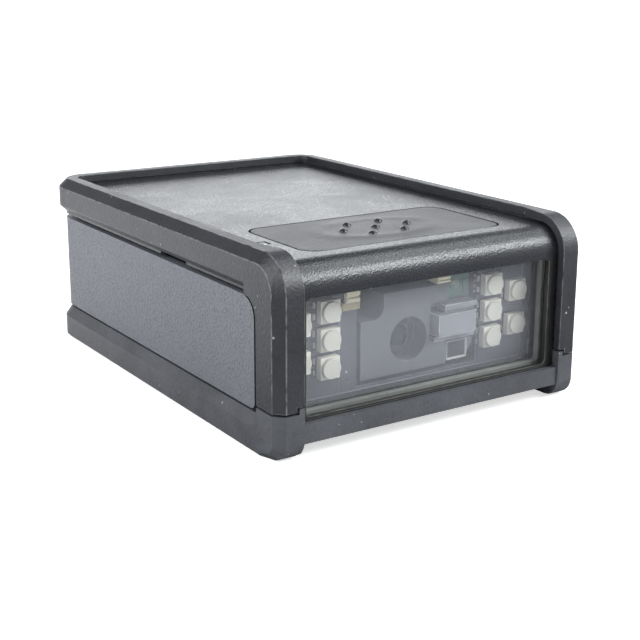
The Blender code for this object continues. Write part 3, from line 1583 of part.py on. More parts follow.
# Main board with the decoder, beeper and the flex from the imager
main_board = block(
    "main_board",
    -MAIN_BOARD_HALF_WIDTH,
    MAIN_BOARD_HALF_WIDTH,
    MAIN_BOARD_FRONT,
    MAIN_BOARD_BACK,
    MAIN_BOARD_UNDER,
    MAIN_BOARD_TOP,
    BOARD_GREEN,
)
for number, (x, y) in enumerate(BOARD_POSTS[:2], 1):
    cut(
        main_board,
        rod(
            f"main_board_hole_{number}",
            (x, y),
            BOARD_SCREW_RADIUS + GAP,
            MAIN_BOARD_UNDER - GAP,
            MAIN_BOARD_TOP + GAP,
            segments=12,
        ),
    )
    screw(
        f"main_board_screw_{number}",
        x,
        y,
        BOARD_SCREW_RADIUS,
        BOARD_SCREW_HEAD_RADIUS,
        MAIN_BOARD_TOP + GAP,
        MAIN_BOARD_TOP + GAP + SMALL_SCREW_HEAD,
        BOARD_SCREW_BOTTOM,
    )
chip_x = -MAIN_BOARD_HALF_WIDTH + CHIP_EDGE_MARGIN
chip_y = MAIN_BOARD_FRONT + CHIP_FROM_BOARD_FRONT
beeper_x = MAIN_BOARD_HALF_WIDTH - CHIP_EDGE_MARGIN - BEEPER_RADIUS
beeper_y = chip_y + BEEPER_RADIUS
block(
    "decoder_chip",
    chip_x,
    chip_x + CHIP_SIZE,
    chip_y,
    chip_y + CHIP_SIZE,
    MAIN_BOARD_TOP + GAP,
    MAIN_BOARD_TOP + GAP + CHIP_THICKNESS,
    CHIP_BLACK,
)
beeper = rod(
    "beeper",
    (beeper_x, beeper_y),
    BEEPER_RADIUS,
    MAIN_BOARD_TOP + GAP,
    MAIN_BOARD_TOP + GAP + BEEPER_HEIGHT,
    segments=28,
    surface=CHIP_BLACK,
)
cut(
    beeper,
    rod(
        "beeper_hole",
        (beeper_x, beeper_y),
        BEEPER_RADIUS / 4,
        MAIN_BOARD_TOP + GAP + BEEPER_HEIGHT / 2,
        MAIN_BOARD_TOP + 2 * GAP + BEEPER_HEIGHT,
        segments=16,
    ),
)
flex_z = SENSOR_BOARD_BOTTOM + 4 * CONNECTOR_HEIGHT
plug_y = SENSOR_BOARD_BACK + GAP
block(
    "imager_plug",
    -CONNECTOR_WIDTH / 2,
    CONNECTOR_WIDTH / 2,
    plug_y,
    plug_y + CONNECTOR_HEIGHT,
    flex_z - CONNECTOR_DEPTH / 2,
    flex_z + CONNECTOR_DEPTH / 2,
    LAMP_CREAM,
)
board_plug_y = MAIN_BOARD_FRONT + CONNECTOR_DEPTH
block(
    "main_board_plug",
    -CONNECTOR_WIDTH / 2,
    CONNECTOR_WIDTH / 2,
    board_plug_y - CONNECTOR_DEPTH / 2,
    board_plug_y + CONNECTOR_DEPTH / 2,
    MAIN_BOARD_TOP + GAP,
    MAIN_BOARD_TOP + GAP + CONNECTOR_HEIGHT,
    LAMP_CREAM,
)
flex_start = plug_y + CONNECTOR_HEIGHT + GAP
flex_end = MAIN_BOARD_TOP + 2 * GAP + CONNECTOR_HEIGHT
bend = min(board_plug_y - flex_start, flex_z - flex_end) * 0.8
upper_line = [(flex_start, flex_z + FLEX_THICKNESS / 2)]
lower_line = [(flex_start, flex_z - FLEX_THICKNESS / 2)]
for step in range(7):
    angle = math.radians(90 - 90 * step / 6)
    outer = bend + FLEX_THICKNESS / 2
    inner = bend - FLEX_THICKNESS / 2
    centre_y = board_plug_y - bend
    centre_z = flex_z - bend
    upper_line.append((centre_y + outer * math.cos(angle), centre_z + outer * math.sin(angle)))
    lower_line.append((centre_y + inner * math.cos(angle), centre_z + inner * math.sin(angle)))
upper_line.append((board_plug_y + FLEX_THICKNESS / 2, flex_end))
lower_line.append((board_plug_y - FLEX_THICKNESS / 2, flex_end))
finish(
    "engine_flex",
    prism(upper_line + lower_line[::-1], -FLEX_WIDTH / 2, FLEX_WIDTH / 2, "X"),
    FLEX_AMBER,
)

# Cable socket with its latch groove and contacts
cable_jack = block(
    "cable_jack",
    -JACK_WIDTH / 2,
    JACK_WIDTH / 2,
    JACK_FRONT,
    JACK_BACK,
    JACK_BOTTOM,
    JACK_TOP,
    CHIP_BLACK,
)
socket_low = JACK_BOTTOM + JACK_OPENING_LIFT
socket_high = socket_low + JACK_OPENING_HEIGHT
cut(
    cable_jack,
    block(
        "jack_socket",
        -JACK_OPENING_WIDTH / 2,
        JACK_OPENING_WIDTH / 2,
        JACK_BACK - JACK_OPENING_DEPTH,
        JACK_BACK + GAP,
        socket_low,
        socket_high,
    ),
    block(
        "jack_latch",
        -JACK_LATCH_WIDTH / 2,
        JACK_LATCH_WIDTH / 2,
        JACK_BACK - JACK_OPENING_DEPTH,
        JACK_BACK + GAP,
        socket_low - JACK_LATCH_RISE,
        socket_high - GAP,
    ),
)
block(
    "jack_contacts",
    -CONTACTS_WIDTH / 2,
    CONTACTS_WIDTH / 2,
    JACK_BACK - JACK_OPENING_DEPTH + GAP,
    JACK_BACK - JACK_OPENING_DEPTH + GAP + CONTACTS_LENGTH,
    socket_high - GAP - CONTACTS_HEIGHT,
    socket_high - GAP,
    GILT,
)

# Case screws and threaded inserts in the underside
for number, (x, y) in enumerate(CASE_SCREW_SPOTS, 1):
    screw(
        f"case_screw_{number}",
        x,
        y,
        CASE_SCREW_RADIUS,
        CASE_SCREW_HEAD_RADIUS,
        BELLY_CLEARANCE + GAP,
        BELLY_CLEARANCE + GAP + CASE_SCREW_HEAD,
        BELLY_CLEARANCE + GAP + CASE_SCREW_HEAD + CASE_SCREW_LENGTH,
    )
for number, (x, y) in enumerate(INSERT_SPOTS, 1):
    insert = rod(
        f"mounting_insert_{number}",
        (x, y),
        INSERT_RADIUS,
        BELLY_CLEARANCE,
        BELLY_CLEARANCE + INSERT_LENGTH,
        surface=BRASS,
    )
    cut(
        insert,
        rod(
            f"insert_bore_{number}",
            (x, y),
            INSERT_BORE,
            BELLY_CLEARANCE - GAP,
            BELLY_CLEARANCE + INSERT_LENGTH + GAP,
        ),
    )
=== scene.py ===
import json
import math

import bmesh
import bpy
from mathutils import Matrix, Vector

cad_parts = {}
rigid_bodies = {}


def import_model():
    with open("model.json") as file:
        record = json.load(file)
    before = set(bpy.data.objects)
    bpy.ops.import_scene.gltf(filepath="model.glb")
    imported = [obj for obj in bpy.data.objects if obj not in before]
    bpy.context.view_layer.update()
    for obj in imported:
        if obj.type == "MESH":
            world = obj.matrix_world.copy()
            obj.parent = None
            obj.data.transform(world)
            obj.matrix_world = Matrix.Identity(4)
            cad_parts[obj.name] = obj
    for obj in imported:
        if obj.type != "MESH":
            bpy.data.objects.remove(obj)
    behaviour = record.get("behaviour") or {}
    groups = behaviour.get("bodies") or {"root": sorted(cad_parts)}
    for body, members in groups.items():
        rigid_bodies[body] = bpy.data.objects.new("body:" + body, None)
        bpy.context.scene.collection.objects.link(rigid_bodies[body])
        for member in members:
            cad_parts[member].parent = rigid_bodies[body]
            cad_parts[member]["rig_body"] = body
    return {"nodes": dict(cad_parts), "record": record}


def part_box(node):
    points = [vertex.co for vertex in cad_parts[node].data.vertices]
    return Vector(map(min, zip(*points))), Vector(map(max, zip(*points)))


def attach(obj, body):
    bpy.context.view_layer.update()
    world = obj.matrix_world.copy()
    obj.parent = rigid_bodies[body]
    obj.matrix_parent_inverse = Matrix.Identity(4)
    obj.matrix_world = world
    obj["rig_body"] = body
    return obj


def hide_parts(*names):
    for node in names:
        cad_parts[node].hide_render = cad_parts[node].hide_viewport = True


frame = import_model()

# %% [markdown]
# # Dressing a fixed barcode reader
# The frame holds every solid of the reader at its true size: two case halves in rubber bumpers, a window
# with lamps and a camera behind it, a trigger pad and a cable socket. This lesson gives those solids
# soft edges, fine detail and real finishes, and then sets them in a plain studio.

MM = 0.001
nodes = frame["nodes"]
node_body = {name: node["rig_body"] for name, node in nodes.items()}
node_slot = {row["node"]: row["material_slot"] for row in frame["record"]["subparts"]}
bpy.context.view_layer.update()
print("solid model:", len(nodes), "nodes")

# %% [markdown]
# ## The camera
# The photograph looks down a little on the front left corner. The camera is built from its three angles,
# so that each can be changed by itself. The upright edges are nearly parallel, as in a product picture, so
# the camera looks a little over the reader, and a small shift brings the reader back into the frame.

# %% Camera
AZIMUTH = math.radians(-33.35)
ELEVATION = math.radians(14.64)
ROLL = math.radians(0.25)
CAMERA_PLACE = Vector((-97.51, -154.86, 59.2)) * MM
flat = math.cos(ELEVATION)
back = Vector((math.sin(AZIMUTH) * flat, -math.cos(AZIMUTH) * flat, math.sin(ELEVATION)))
right = Vector((0, 0, 1)).cross(back).normalized()
up = back.cross(right)
camera_x = math.cos(ROLL) * right + math.sin(ROLL) * up
camera_y = math.cos(ROLL) * up - math.sin(ROLL) * right
camera_data = bpy.data.cameras.new("camera")
camera_data.lens = 69.52
camera_data.shift_y = -0.05
camera_data.clip_start = 0.005
camera_data.clip_end = 10
camera = bpy.data.objects.new("camera", camera_data)
camera_turn = Matrix((camera_x, camera_y, back)).transposed().to_4x4()
camera.matrix_world = Matrix.Translation(CAMERA_PLACE) @ camera_turn
bpy.context.scene.collection.objects.link(camera)
bpy.context.scene.camera = camera
print("camera at", [round(value, 4) for value in CAMERA_PLACE])

# %% [markdown]
# ## Small helpers for node trees
# A material is a graph. A few helpers keep the graphs short to write: they add a node and feed its inputs,
# do a sum, blend two colours, or build and use a group. An input is either a plain value or the output of
# another node.


# %% Node helpers
def feed(tree, socket, value):
    """A number is set on the socket itself, an output is linked to it."""
    if isinstance(value, bpy.types.NodeSocket):
        tree.links.new(value, socket)
    else:
        socket.default_value = value


def add(tree, kind, inputs=None, **settings):
    """A shader node with its settings and its inputs."""
    node = tree.nodes.new("ShaderNode" + kind)
    for name, value in settings.items():
        setattr(node, name, value)
    for name, value in (inputs or {}).items():
        feed(tree, node.inputs[name], value)
    return node


def calc(tree, operation, first, second=0.0, clamp=False):
    """What a math node puts out."""
    node = tree.nodes.new("ShaderNodeMath")
    node.operation = operation
    node.use_clamp = clamp
    feed(tree, node.inputs[0], first)
    feed(tree, node.inputs[1], second)
    return node.outputs[0]


def blend_colour(tree, factor, first, second):
    """The first colour, turned into the second by the factor."""
    node = tree.nodes.new("ShaderNodeMix")
    node.data_type = "RGBA"
    feed(tree, node.inputs["Factor"], factor)
    feed(tree, node.inputs["A"], first)
    feed(tree, node.inputs["B"], second)
    return node.outputs["Result"]


def new_group(name, inputs, outputs):
    """A node group with float inputs and outputs, and its two end nodes."""
    group = bpy.data.node_groups.new(name, "ShaderNodeTree")
    for label, value in inputs.items():
        socket = group.interface.new_socket(name=label, in_out="INPUT", socket_type="NodeSocketFloat")
        socket.default_value = value
    for label in outputs:
        group.interface.new_socket(name=label, in_out="OUTPUT", socket_type="NodeSocketFloat")
    return group, group.nodes.new("NodeGroupInput"), group.nodes.new("NodeGroupOutput")


def use_group(tree, group, **inputs):
    """A node that runs a group. The spaces in an input's name are written as underscores."""
    node = tree.nodes.new("ShaderNodeGroup")
    node.node_tree = group
    for name, value in inputs.items():
        feed(tree, node.inputs[name.replace("_", " ")], value)
    return node


print("node helpers ready")

# %% [markdown]
# ## Grain, dust and wear as node groups
# The moulded plastic has a fine spark-eroded grain, the rubber carries pale specks of dust and soft
# smudges, and every handled edge is a little paler than its faces. These could be painted as images, but
# noise in object space needs no unwrapping and stays sharp at any distance. Each effect is one group with
# its own sizes, so that plastic, rubber and metal can share it.

# %% Grain group
PER_METRE = 1000.0
PIT_SHARE = 0.5
tree, enter, leave = new_group("moulded_grain", {"Grain Size": 0.3}, ["Height"])
place = add(tree, "TexCoord").outputs["Object"]
scale = calc(tree, "DIVIDE", PER_METRE, enter.outputs["Grain Size"])
fine = add(tree, "TexNoise", {"Vector": place, "Scale": scale, "Detail": 0.5, "Roughness": 0.5})
pits = add(tree, "TexVoronoi", {"Vector": place, "Scale": scale})
walls = calc(tree, "MULTIPLY", pits.outputs["Distance"], PIT_SHARE)
feed(tree, leave.inputs["Height"], calc(tree, "ADD", fine.outputs["Fac"], walls))
grain_group = tree
print("grain nodes:", len(tree.nodes))

# %% Dust group
SPECK_LEAST = 0.08
SPECK_SPREAD = 0.35
tree, enter, leave = new_group(
    "dust_and_smudges", {"Speck Size": 1.0, "Speck Share": 0.2, "Smudge Size": 9.0}, ["Specks", "Smudge"]
)
place = add(tree, "TexCoord").outputs["Object"]
scale = calc(tree, "DIVIDE", PER_METRE, enter.outputs["Speck Size"])
cells = add(tree, "TexVoronoi", {"Vector": place, "Scale": scale})
lot = add(tree, "TexWhiteNoise", {"Vector": cells.outputs["Color"]})
chosen = calc(tree, "LESS_THAN", lot.outputs["Value"], enter.outputs["Speck Share"])
grown = calc(tree, "MULTIPLY", lot.outputs["Value"], SPECK_SPREAD)
reach = calc(tree, "ADD", grown, SPECK_LEAST)
near = calc(tree, "LESS_THAN", cells.outputs["Distance"], reach)
feed(tree, leave.inputs["Specks"], calc(tree, "MULTIPLY", chosen, near))
scale = calc(tree, "DIVIDE", PER_METRE, enter.outputs["Smudge Size"])
cloudy = {"Detail": 5.0, "Roughness": 0.65, "Distortion": 0.6}
cloud = add(tree, "TexNoise", {"Vector": place, "Scale": scale, **cloudy})
spread = add(tree, "MapRange", {"Value": cloud.outputs["Fac"], "From Min": 0.35, "From Max": 0.7})
feed(tree, leave.inputs["Smudge"], spread.outputs["Result"])
dust_group = tree
print("dust nodes:", len(tree.nodes))

# %% Wear group
# The same edge mask also paints highlights: the pale edges of the clear parts, of the lip round the window
# and of the ring round the camera glass.
tree, enter, leave = new_group("edge_wear", {"Break Up Size": 1.2}, ["Wear"])
place = add(tree, "TexCoord").outputs["Object"]
edge = add(tree, "Attribute", attribute_name="wear_and_glint").outputs["Fac"]
scale = calc(tree, "DIVIDE", PER_METRE, enter.outputs["Break Up Size"])
broken = add(tree, "TexNoise", {"Vector": place, "Scale": scale, "Detail": 3.0})
share = add(tree, "MapRange", {"Value": broken.outputs["Fac"], "From Min": 0.3, "From Max": 0.62})
feed(tree, leave.inputs["Wear"], calc(tree, "MULTIPLY", edge, share.outputs["Result"]))
wear_group = tree
print("node groups:", [group.name for group in (grain_group, dust_group, wear_group)])

# %% [markdown]
# ## One recipe for plastic, rubber and metal
# The recipe mixes a base colour with a slightly different one by the smudges, lightens the worn edges, and
# lays the specks on top. Roughness follows the smudges and specks, and the grain goes into a Bump node.
# Shine says how strongly the surface mirrors, and speckle darkens the pits of the grain, so that a grain
# finer than a pixel still shows. A material is then one call with its own values.


# %% Material recipe
PIT_LEVEL = 0.8
PIT_ROUGHNESS = 0.3
SPECK_ROUGHNESS = 0.3
SPECK_SIZE = 1.2
SMUDGE_SIZE = 9.0
BLACK = (0.0, 0.0, 0.0, 1.0)
materials = {}


def make_material(
    name,
    colour,
    roughness,
    metallic=0.0,
    grain=0.4,
    depth=0.002,
    mottle=0.15,
    wear=0.3,
    specks=0.0,
    rough_shift=0.08,
    shine=0.5,
    speckle=0.0,
    edge_colour=(0.5, 0.5, 0.51),
    dust_colour=(0.42, 0.42, 0.41),
):
    """Keeps a grained material under its name, whose edges are paled through the wear_and_glint attribute.
    Sizes are in millimetres.
    """
    surface = bpy.data.materials.new(name)
    surface.use_nodes = True
    tree = surface.node_tree
    shader = tree.nodes["Principled BSDF"]
    shader.inputs["Metallic"].default_value = metallic
    shader.inputs["Specular IOR Level"].default_value = shine
    dust = use_group(tree, dust_group, Speck_Size=SPECK_SIZE, Speck_Share=specks, Smudge_Size=SMUDGE_SIZE)
    wear_and_glint = calc(tree, "MULTIPLY", use_group(tree, wear_group).outputs["Wear"], wear)
    darker = tuple(value * (1 - mottle) for value in colour) + (1.0,)
    lighter = tuple(min(1.0, value * (1 + mottle)) for value in colour) + (1.0,)
    tint = blend_colour(tree, dust.outputs["Smudge"], darker, lighter)
    tint = blend_colour(tree, wear_and_glint, tint, (*edge_colour, 1.0))
    tint = blend_colour(tree, dust.outputs["Specks"], tint, (*dust_colour, 1.0))
    height = use_group(tree, grain_group, Grain_Size=grain).outputs["Height"]
    pits = calc(tree, "SUBTRACT", PIT_LEVEL, height)
    if speckle:
        tint = blend_colour(tree, calc(tree, "MULTIPLY", pits, speckle, True), tint, BLACK)
    feed(tree, shader.inputs["Base Color"], tint)
    shift = calc(tree, "MULTIPLY", dust.outputs["Smudge"], rough_shift)
    shift = calc(tree, "ADD", shift, calc(tree, "MULTIPLY", pits, PIT_ROUGHNESS * speckle))
    rough = calc(tree, "ADD", shift, roughness)
    dusty = calc(tree, "MULTIPLY", dust.outputs["Specks"], SPECK_ROUGHNESS)
    feed(tree, shader.inputs["Roughness"], calc(tree, "ADD", rough, dusty, True))
    if depth:
        bump = add(tree, "Bump", {"Height": height, "Strength": 1.0, "Distance": depth * MM})
        feed(tree, shader.inputs["Normal"], bump.outputs["Normal"])
    materials[name] = surface


print("recipe ready")

# %% Case and rubber
make_material(
    "case_grey",
    (0.022, 0.024, 0.029),
    0.27,
    grain=0.25,
    depth=0.034,
    mottle=0.05,
    wear=0.1,
    specks=0.03,
    speckle=0.9,
)
make_material(
    "case_dark", (0.147, 0.152, 0.173), 0.48, grain=0.33, depth=0.07, mottle=0.06, wear=0.08, speckle=0.7
)
rubber = {
    "mottle": 0.2,
    "specks": 0.16,
    "speckle": 0.3,
    "edge_colour": (0.26, 0.26, 0.28),
    "dust_colour": (0.3, 0.3, 0.29),
}
make_material("bumper_rubber", (0.028, 0.029, 0.035), 0.4, depth=0.04, wear=0.5, shine=0.56, **rubber)
make_material("boot_rubber", (0.075, 0.078, 0.088), 0.44, grain=0.45, depth=0.035, wear=0.35, **rubber)
make_material(
    "pad_rubber", (0.04, 0.041, 0.047), 0.42, grain=0.5, depth=0.02, wear=0.15, shine=0.58, speckle=0.2
)
make_material("dot_rubber", (0.03, 0.03, 0.033), 0.2, grain=0.5, depth=0.001, wear=0.0)
print("case and rubber:", list(materials))

# %% Seals and lips
make_material("seal_grey", (0.2, 0.21, 0.19), 0.5, depth=0.003)
# The lip's edges are painted a paler olive all round: a painted highlight along them.
lip_edge_highlight = (0.13, 0.135, 0.115)
make_material("lip_olive", (0.03, 0.03, 0.028), 0.45, depth=0.003, wear=1.0, edge_colour=lip_edge_highlight)
# gasket_and_shade_black is the black of the film holder and the board surround, and also of the thin sheet
# of painted shade in front of the window.
make_material("gasket_and_shade_black", (0.015, 0.015, 0.016), 0.5, depth=0.003, wear=0.1)
# shade_strip_black is painted shade: a near-black, barely glossy surface for the strips that stand in for
# the shadow in the gap beside each side panel.
make_material("shade_strip_black", (0.006, 0.006, 0.007), 0.7, depth=0.003, mottle=0.1, wear=0.1, shine=0.08)
print("with seals and lips:", len(materials))

# %% Boards, lamps and connectors
make_material("board_dark", (0.085, 0.088, 0.105), 0.4, grain=0.5, mottle=0.05, wear=0.5)
make_material("board_line", (0.2, 0.2, 0.215), 0.4, grain=0.5, mottle=0.2, wear=0.2)
make_material("board_green", (0.1, 0.24, 0.185), 0.3, grain=0.5, mottle=0.3, wear=0.4)
make_material(
    "lamp_cream", (0.73, 0.715, 0.625), 0.35, mottle=0.04, wear=0.6, edge_colour=(0.97, 0.96, 0.9)
)
make_material("lamp_lens", (0.63, 0.62, 0.545), 0.3, mottle=0.03, wear=0.2)
make_material("connector_cream", (0.85, 0.8, 0.58), 0.35, mottle=0.05, wear=0.5)
make_material("chip_black", (0.03, 0.03, 0.032), 0.4, grain=0.3, depth=0.004, wear=0.2)
make_material("flex_amber", (0.42, 0.2, 0.05), 0.35, grain=0.8, mottle=0.1)
print("with boards and lamps:", len(materials))

# %% Camera, aiming lens and metal
make_material(
    "imager_grey",
    (0.135, 0.14, 0.155),
    0.5,
    grain=0.25,
    depth=0.005,
    mottle=0.04,
    wear=0.45,
    edge_colour=(0.3, 0.3, 0.29),
)
# The pale worn edges of lens_black are painted highlights, on the lens barrel and the ring round the
# camera glass, in place of their glints.
make_material("lens_black", (0.03, 0.03, 0.034), 0.3, wear=0.6)
make_material("lens_glass", (0.02, 0.02, 0.035), 0.05, depth=0, mottle=0.3, wear=0.1, rough_shift=0.02)
make_material("sensor_frame", (0.5, 0.5, 0.47), 0.3, wear=0.7, edge_colour=(0.9, 0.9, 0.87))
make_material("solder_tin", (0.75, 0.76, 0.77), 0.3, metallic=0.7, grain=0.3, depth=0.008, wear=0.2)
make_material(
    "solder_dull", (0.3, 0.36, 0.33), 0.25, metallic=0.5, grain=0.6, depth=0.02, mottle=0.3, wear=0.2
)
make_material("screw_steel", (0.5, 0.5, 0.5), 0.3, metallic=1.0, depth=0.003, wear=0.5)
make_material("insert_brass", (0.72, 0.53, 0.26), 0.32, metallic=1.0, depth=0.003)
make_material("contact_gilt", (0.8, 0.62, 0.32), 0.28, metallic=1.0)
make_material("tail_gilt", (0.5, 0.43, 0.27), 0.4, metallic=0.3, depth=0.004, mottle=0.25, wear=0.5)
print("opaque materials:", len(materials))

# %% [markdown]
# ## Clear and frosted materials
# The window could be true refracting glass, but light doesn't reach what lies behind such glass without
# caustics. A thin pane bends light so little that partial alpha does the same job: most of the light goes
# straight through, and the rest shows a faint haze and the gloss of the surface. Alpha counts at each face
# that a ray crosses, so the pane is nearly clear, and the haze sits on a film behind the seal.


# %% Clear materials
PAINTED_EDGE_HIGHLIGHT = (0.9, 0.91, 0.92, 1.0)


def make_clear(name, colour, roughness, alpha, highlight_alpha, smudge=0.1):
    """Keeps a see-through material under its name, with painted highlights along its edges and faint
    smudges.
    """
    surface = bpy.data.materials.new(name)
    surface.use_nodes = True
    tree = surface.node_tree
    shader = tree.nodes["Principled BSDF"]
    shader.inputs["Roughness"].default_value = roughness
    dust = use_group(tree, dust_group, Speck_Size=2.0, Speck_Share=0.03, Smudge_Size=14.0)
    wear_and_glint = use_group(tree, wear_group).outputs["Wear"]
    # The edges are painted pale and made less clear: painted highlights along the edges of the clear
    # parts.
    tint = blend_colour(tree, wear_and_glint, (*colour, 1.0), PAINTED_EDGE_HIGHLIGHT)
    feed(tree, shader.inputs["Base Color"], tint)
    haze = calc(tree, "MULTIPLY", dust.outputs["Smudge"], smudge)
    rim = calc(tree, "MULTIPLY", wear_and_glint, highlight_alpha)
    total = calc(tree, "ADD", calc(tree, "ADD", haze, rim), alpha, True)
    feed(tree, shader.inputs["Alpha"], total)
    materials[name] = surface


make_clear("clear_window", (0.66, 0.68, 0.74), roughness=0.06, alpha=0.02, highlight_alpha=0.4, smudge=0.02)
make_clear("clear_film", (0.66, 0.68, 0.74), roughness=0.3, alpha=0.085, highlight_alpha=0.2, smudge=0.01)
make_clear("clear_plastic", (0.64, 0.66, 0.72), roughness=0.12, alpha=0.36, highlight_alpha=0.25)
make_clear("frosted_light", (0.16, 0.165, 0.17), roughness=0.4, alpha=0.9, highlight_alpha=0.1)
print("materials:", len(materials))

# %% [markdown]
# ## Soft edges on every solid
# A solid from the frame has knife edges, and nothing moulded does. A Bevel modifier could round them, but
# its width is limited by the smallest feature. Here a merged copy of the mesh is bevelled with bmesh, and
# the outward edges are marked in an attribute named wear_and_glint, which the wear group reads: on most
# parts it gives worn edges, and on the clear parts painted highlights. A Weighted Normal modifier then
# keeps the flat faces flat.

# %% Soft edges
MERGE = 0.002 * MM
FLAT_ANGLE = math.radians(0.5)
EDGE_ANGLE = math.radians(32)
CREASE_ANGLE = math.radians(40)


def own_object(name, mesh_data, surfaces, body="reader"):
    """Turns a bmesh into a piece that rides on a body. Its place is in its mesh."""
    mesh = bpy.data.meshes.new(name)
    mesh_data.to_mesh(mesh)
    mesh_data.free()
    mesh.shade_smooth()
    mesh.set_sharp_from_angle(angle=CREASE_ANGLE)
    for surface in surfaces:
        mesh.materials.append(materials[surface])
    piece = bpy.data.objects.new(name, mesh)
    bpy.context.scene.collection.objects.link(piece)
    weighted = piece.modifiers.new("flat_faces", "WEIGHTED_NORMAL")
    weighted.keep_sharp = True
    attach(piece, body)
    return piece


# %% Merged copy and rounding
def merged_copy(node):
    """A node's mesh with its loose triangles joined and its flat faces made whole."""
    shape = bmesh.new()
    shape.from_mesh(nodes[node].data)
    bmesh.ops.remove_doubles(shape, verts=shape.verts, dist=MERGE)
    bmesh.ops.dissolve_limit(shape, angle_limit=FLAT_ANGLE, verts=shape.verts, edges=shape.edges)
    return shape


def soften(shape, width, segments=2):
    """Rounds the sharp edges and marks the outward ones in the wear_and_glint attribute."""
    wear_and_glint = shape.faces.layers.float.get("wear_and_glint") or shape.faces.layers.float.new("wear_and_glint")
    paired = [edge for edge in shape.edges if len(edge.link_faces) == 2]
    sharp = [edge for edge in paired if edge.calc_face_angle(0) > EDGE_ANGLE]
    made = bmesh.ops.bevel(
        shape,
        geom=sharp,
        offset=width,
        segments=segments,
        profile=0.5,
        affect="EDGES",
        material=-1,
        clamp_overlap=True,
    )["faces"]
    rounded = set(made)
    for face in made:
        centre = face.calc_center_median()
        others = [other for edge in face.edges for other in edge.link_faces if other not in rounded]
        if any((other.calc_center_median() - centre).dot(face.normal) > 0 for other in others):
            continue
        face[wear_and_glint] = 1.0
    return len(sharp)


def soft_piece(node, width, surface=None):
    """A node with its edges rounded by a width in millimetres."""
    shape = merged_copy(node)
    count = soften(shape, width * MM)
    slot = node_slot[node]
    piece = own_object(node + "_moulded", shape, [surface or slot], node_body[node])
    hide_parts(node)
    print(node, "edges rounded:", count)


print("rounded: edges sharper than", round(math.degrees(EDGE_ANGLE)), "degrees")

# %% Solids with soft edges
# Each width, in millimetres, with the nodes that get it.
EDGE_WIDTHS = {
    0.05: ["sensor_board", "button_board"],
    0.06: ["illumination_board", "main_board", "image_sensor"],
    0.08: ["window_seal", "lens_barrel"],
    0.1: ["top_cover", "trigger_switch", "switch_plunger", "status_lamp", "decoder_chip"],
    0.12: ["bottom_tub", "aimer_lamp", "imager_plug", "main_board_plug"],
    0.14: ["upper_bumper", "lower_boot"],
    0.15: ["imager_holder", "cable_jack"],
    0.25: ["beeper"],
}
EDGE_WIDTHS[0.1] += ["status_light_pipe", "window_pane"]
for number in ("_1", "_2"):
    EDGE_WIDTHS[0.12] += ["button_board_screw" + number, "mounting_insert" + number]
    EDGE_WIDTHS[0.15] += ["imager_screw" + number, "main_board_screw" + number]
other_surface = {"lower_boot": "boot_rubber"}
for width, names in EDGE_WIDTHS.items():
    for name in names:
        soft_piece(name, width, other_surface.get(name))
print("soft pieces:", sum(len(names) for names in EDGE_WIDTHS.values()))

# %% [markdown]
# ## Simple solids in millimetres
# The small pieces behind the window are built from a few plain solids: blocks, round rods and frames with
# rounded corners. Each starts from one bmesh operator and is moved to its place, and the edges are
# rounded afterwards, so that no piece stays a bare block.


# %% Solid helpers
def pull(shape, faces, way, keep=True):
    """Extrudes faces by a way in millimetres, turns all faces outwards and gives the moved points."""
    grown = bmesh.ops.extrude_face_region(shape, geom=faces, use_keep_orig=keep)["geom"]
    moved = [item for item in grown if isinstance(item, bmesh.types.BMVert)]
    bmesh.ops.translate(shape, verts=moved, vec=Vector(way) * MM)
    bmesh.ops.recalc_face_normals(shape, faces=shape.faces)
    return moved


def block(shape, low, high):
    """A box between two corners given in millimetres."""
    low, high = Vector(low) * MM, Vector(high) * MM
    made = bmesh.ops.create_cube(shape, size=1.0)["verts"]
    bmesh.ops.scale(shape, verts=made, vec=high - low)
    bmesh.ops.translate(shape, verts=made, vec=(low + high) / 2)
    return made


def rod(shape, start, end, radius, sides=40):
    """A round rod between two points given in millimetres."""
    start, end = Vector(start) * MM, Vector(end) * MM
    turn = (end - start).to_track_quat("Z", "Y").to_matrix().to_4x4()
    place = Matrix.Translation((start + end) / 2) @ turn
    return bmesh.ops.create_cone(
        shape,
        cap_ends=True,
        segments=sides,
        radius1=radius * MM,
        radius2=radius * MM,
        depth=(end - start).length,
        matrix=place,
    )["verts"]


# %% Frame helpers
def outline(shape, low, high, corner, y):
    """A flat face with rounded corners, across X and Z, from (x, z) corners in millimetres."""
    made = bmesh.ops.create_grid(shape, x_segments=1, y_segments=1, size=0.5)["verts"]
    bmesh.ops.rotate(shape, verts=made, cent=(0, 0, 0), matrix=Matrix.Rotation(math.radians(90), 3, "X"))
    bmesh.ops.scale(shape, verts=made, vec=((high[0] - low[0]) * MM, 1, (high[1] - low[1]) * MM))
    middle = Vector(((high[0] + low[0]) / 2, y, (high[1] + low[1]) / 2)) * MM
    bmesh.ops.translate(shape, verts=made, vec=middle)
    rounded = bmesh.ops.bevel(
        shape, geom=made, offset=corner * MM, segments=4, profile=0.5, affect="VERTICES", material=-1
    )
    faces = {face for vert in rounded["verts"] for face in vert.link_faces}
    return max(faces, key=lambda face: face.calc_area())


def frame_ring(shape, inner, outer, corner, front, back):
    """A closed frame between two rounded rectangles, given as ((low x, low z), (high x, high z))."""
    faces = [outline(shape, *inner, corner, front), outline(shape, *outer, corner, front)]
    edges = [edge for face in faces for edge in face.edges]
    bmesh.ops.delete(shape, geom=faces, context="FACES_ONLY")
    ring = bmesh.ops.bridge_loops(shape, edges=edges)["faces"]
    pull(shape, ring, (0, back - front, 0))


# %% Measuring helpers
def box_mm(node):
    """Lowest and highest corner of a node, in millimetres."""
    low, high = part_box(node)
    return Vector(low) / MM, Vector(high) / MM


def front_face(faces):
    """The face that lies furthest forward."""
    return min(faces, key=lambda face: face.calc_center_median().y)


print("helpers ready, pane", [[round(value, 2) for value in corner] for corner in box_mm("window_pane")])

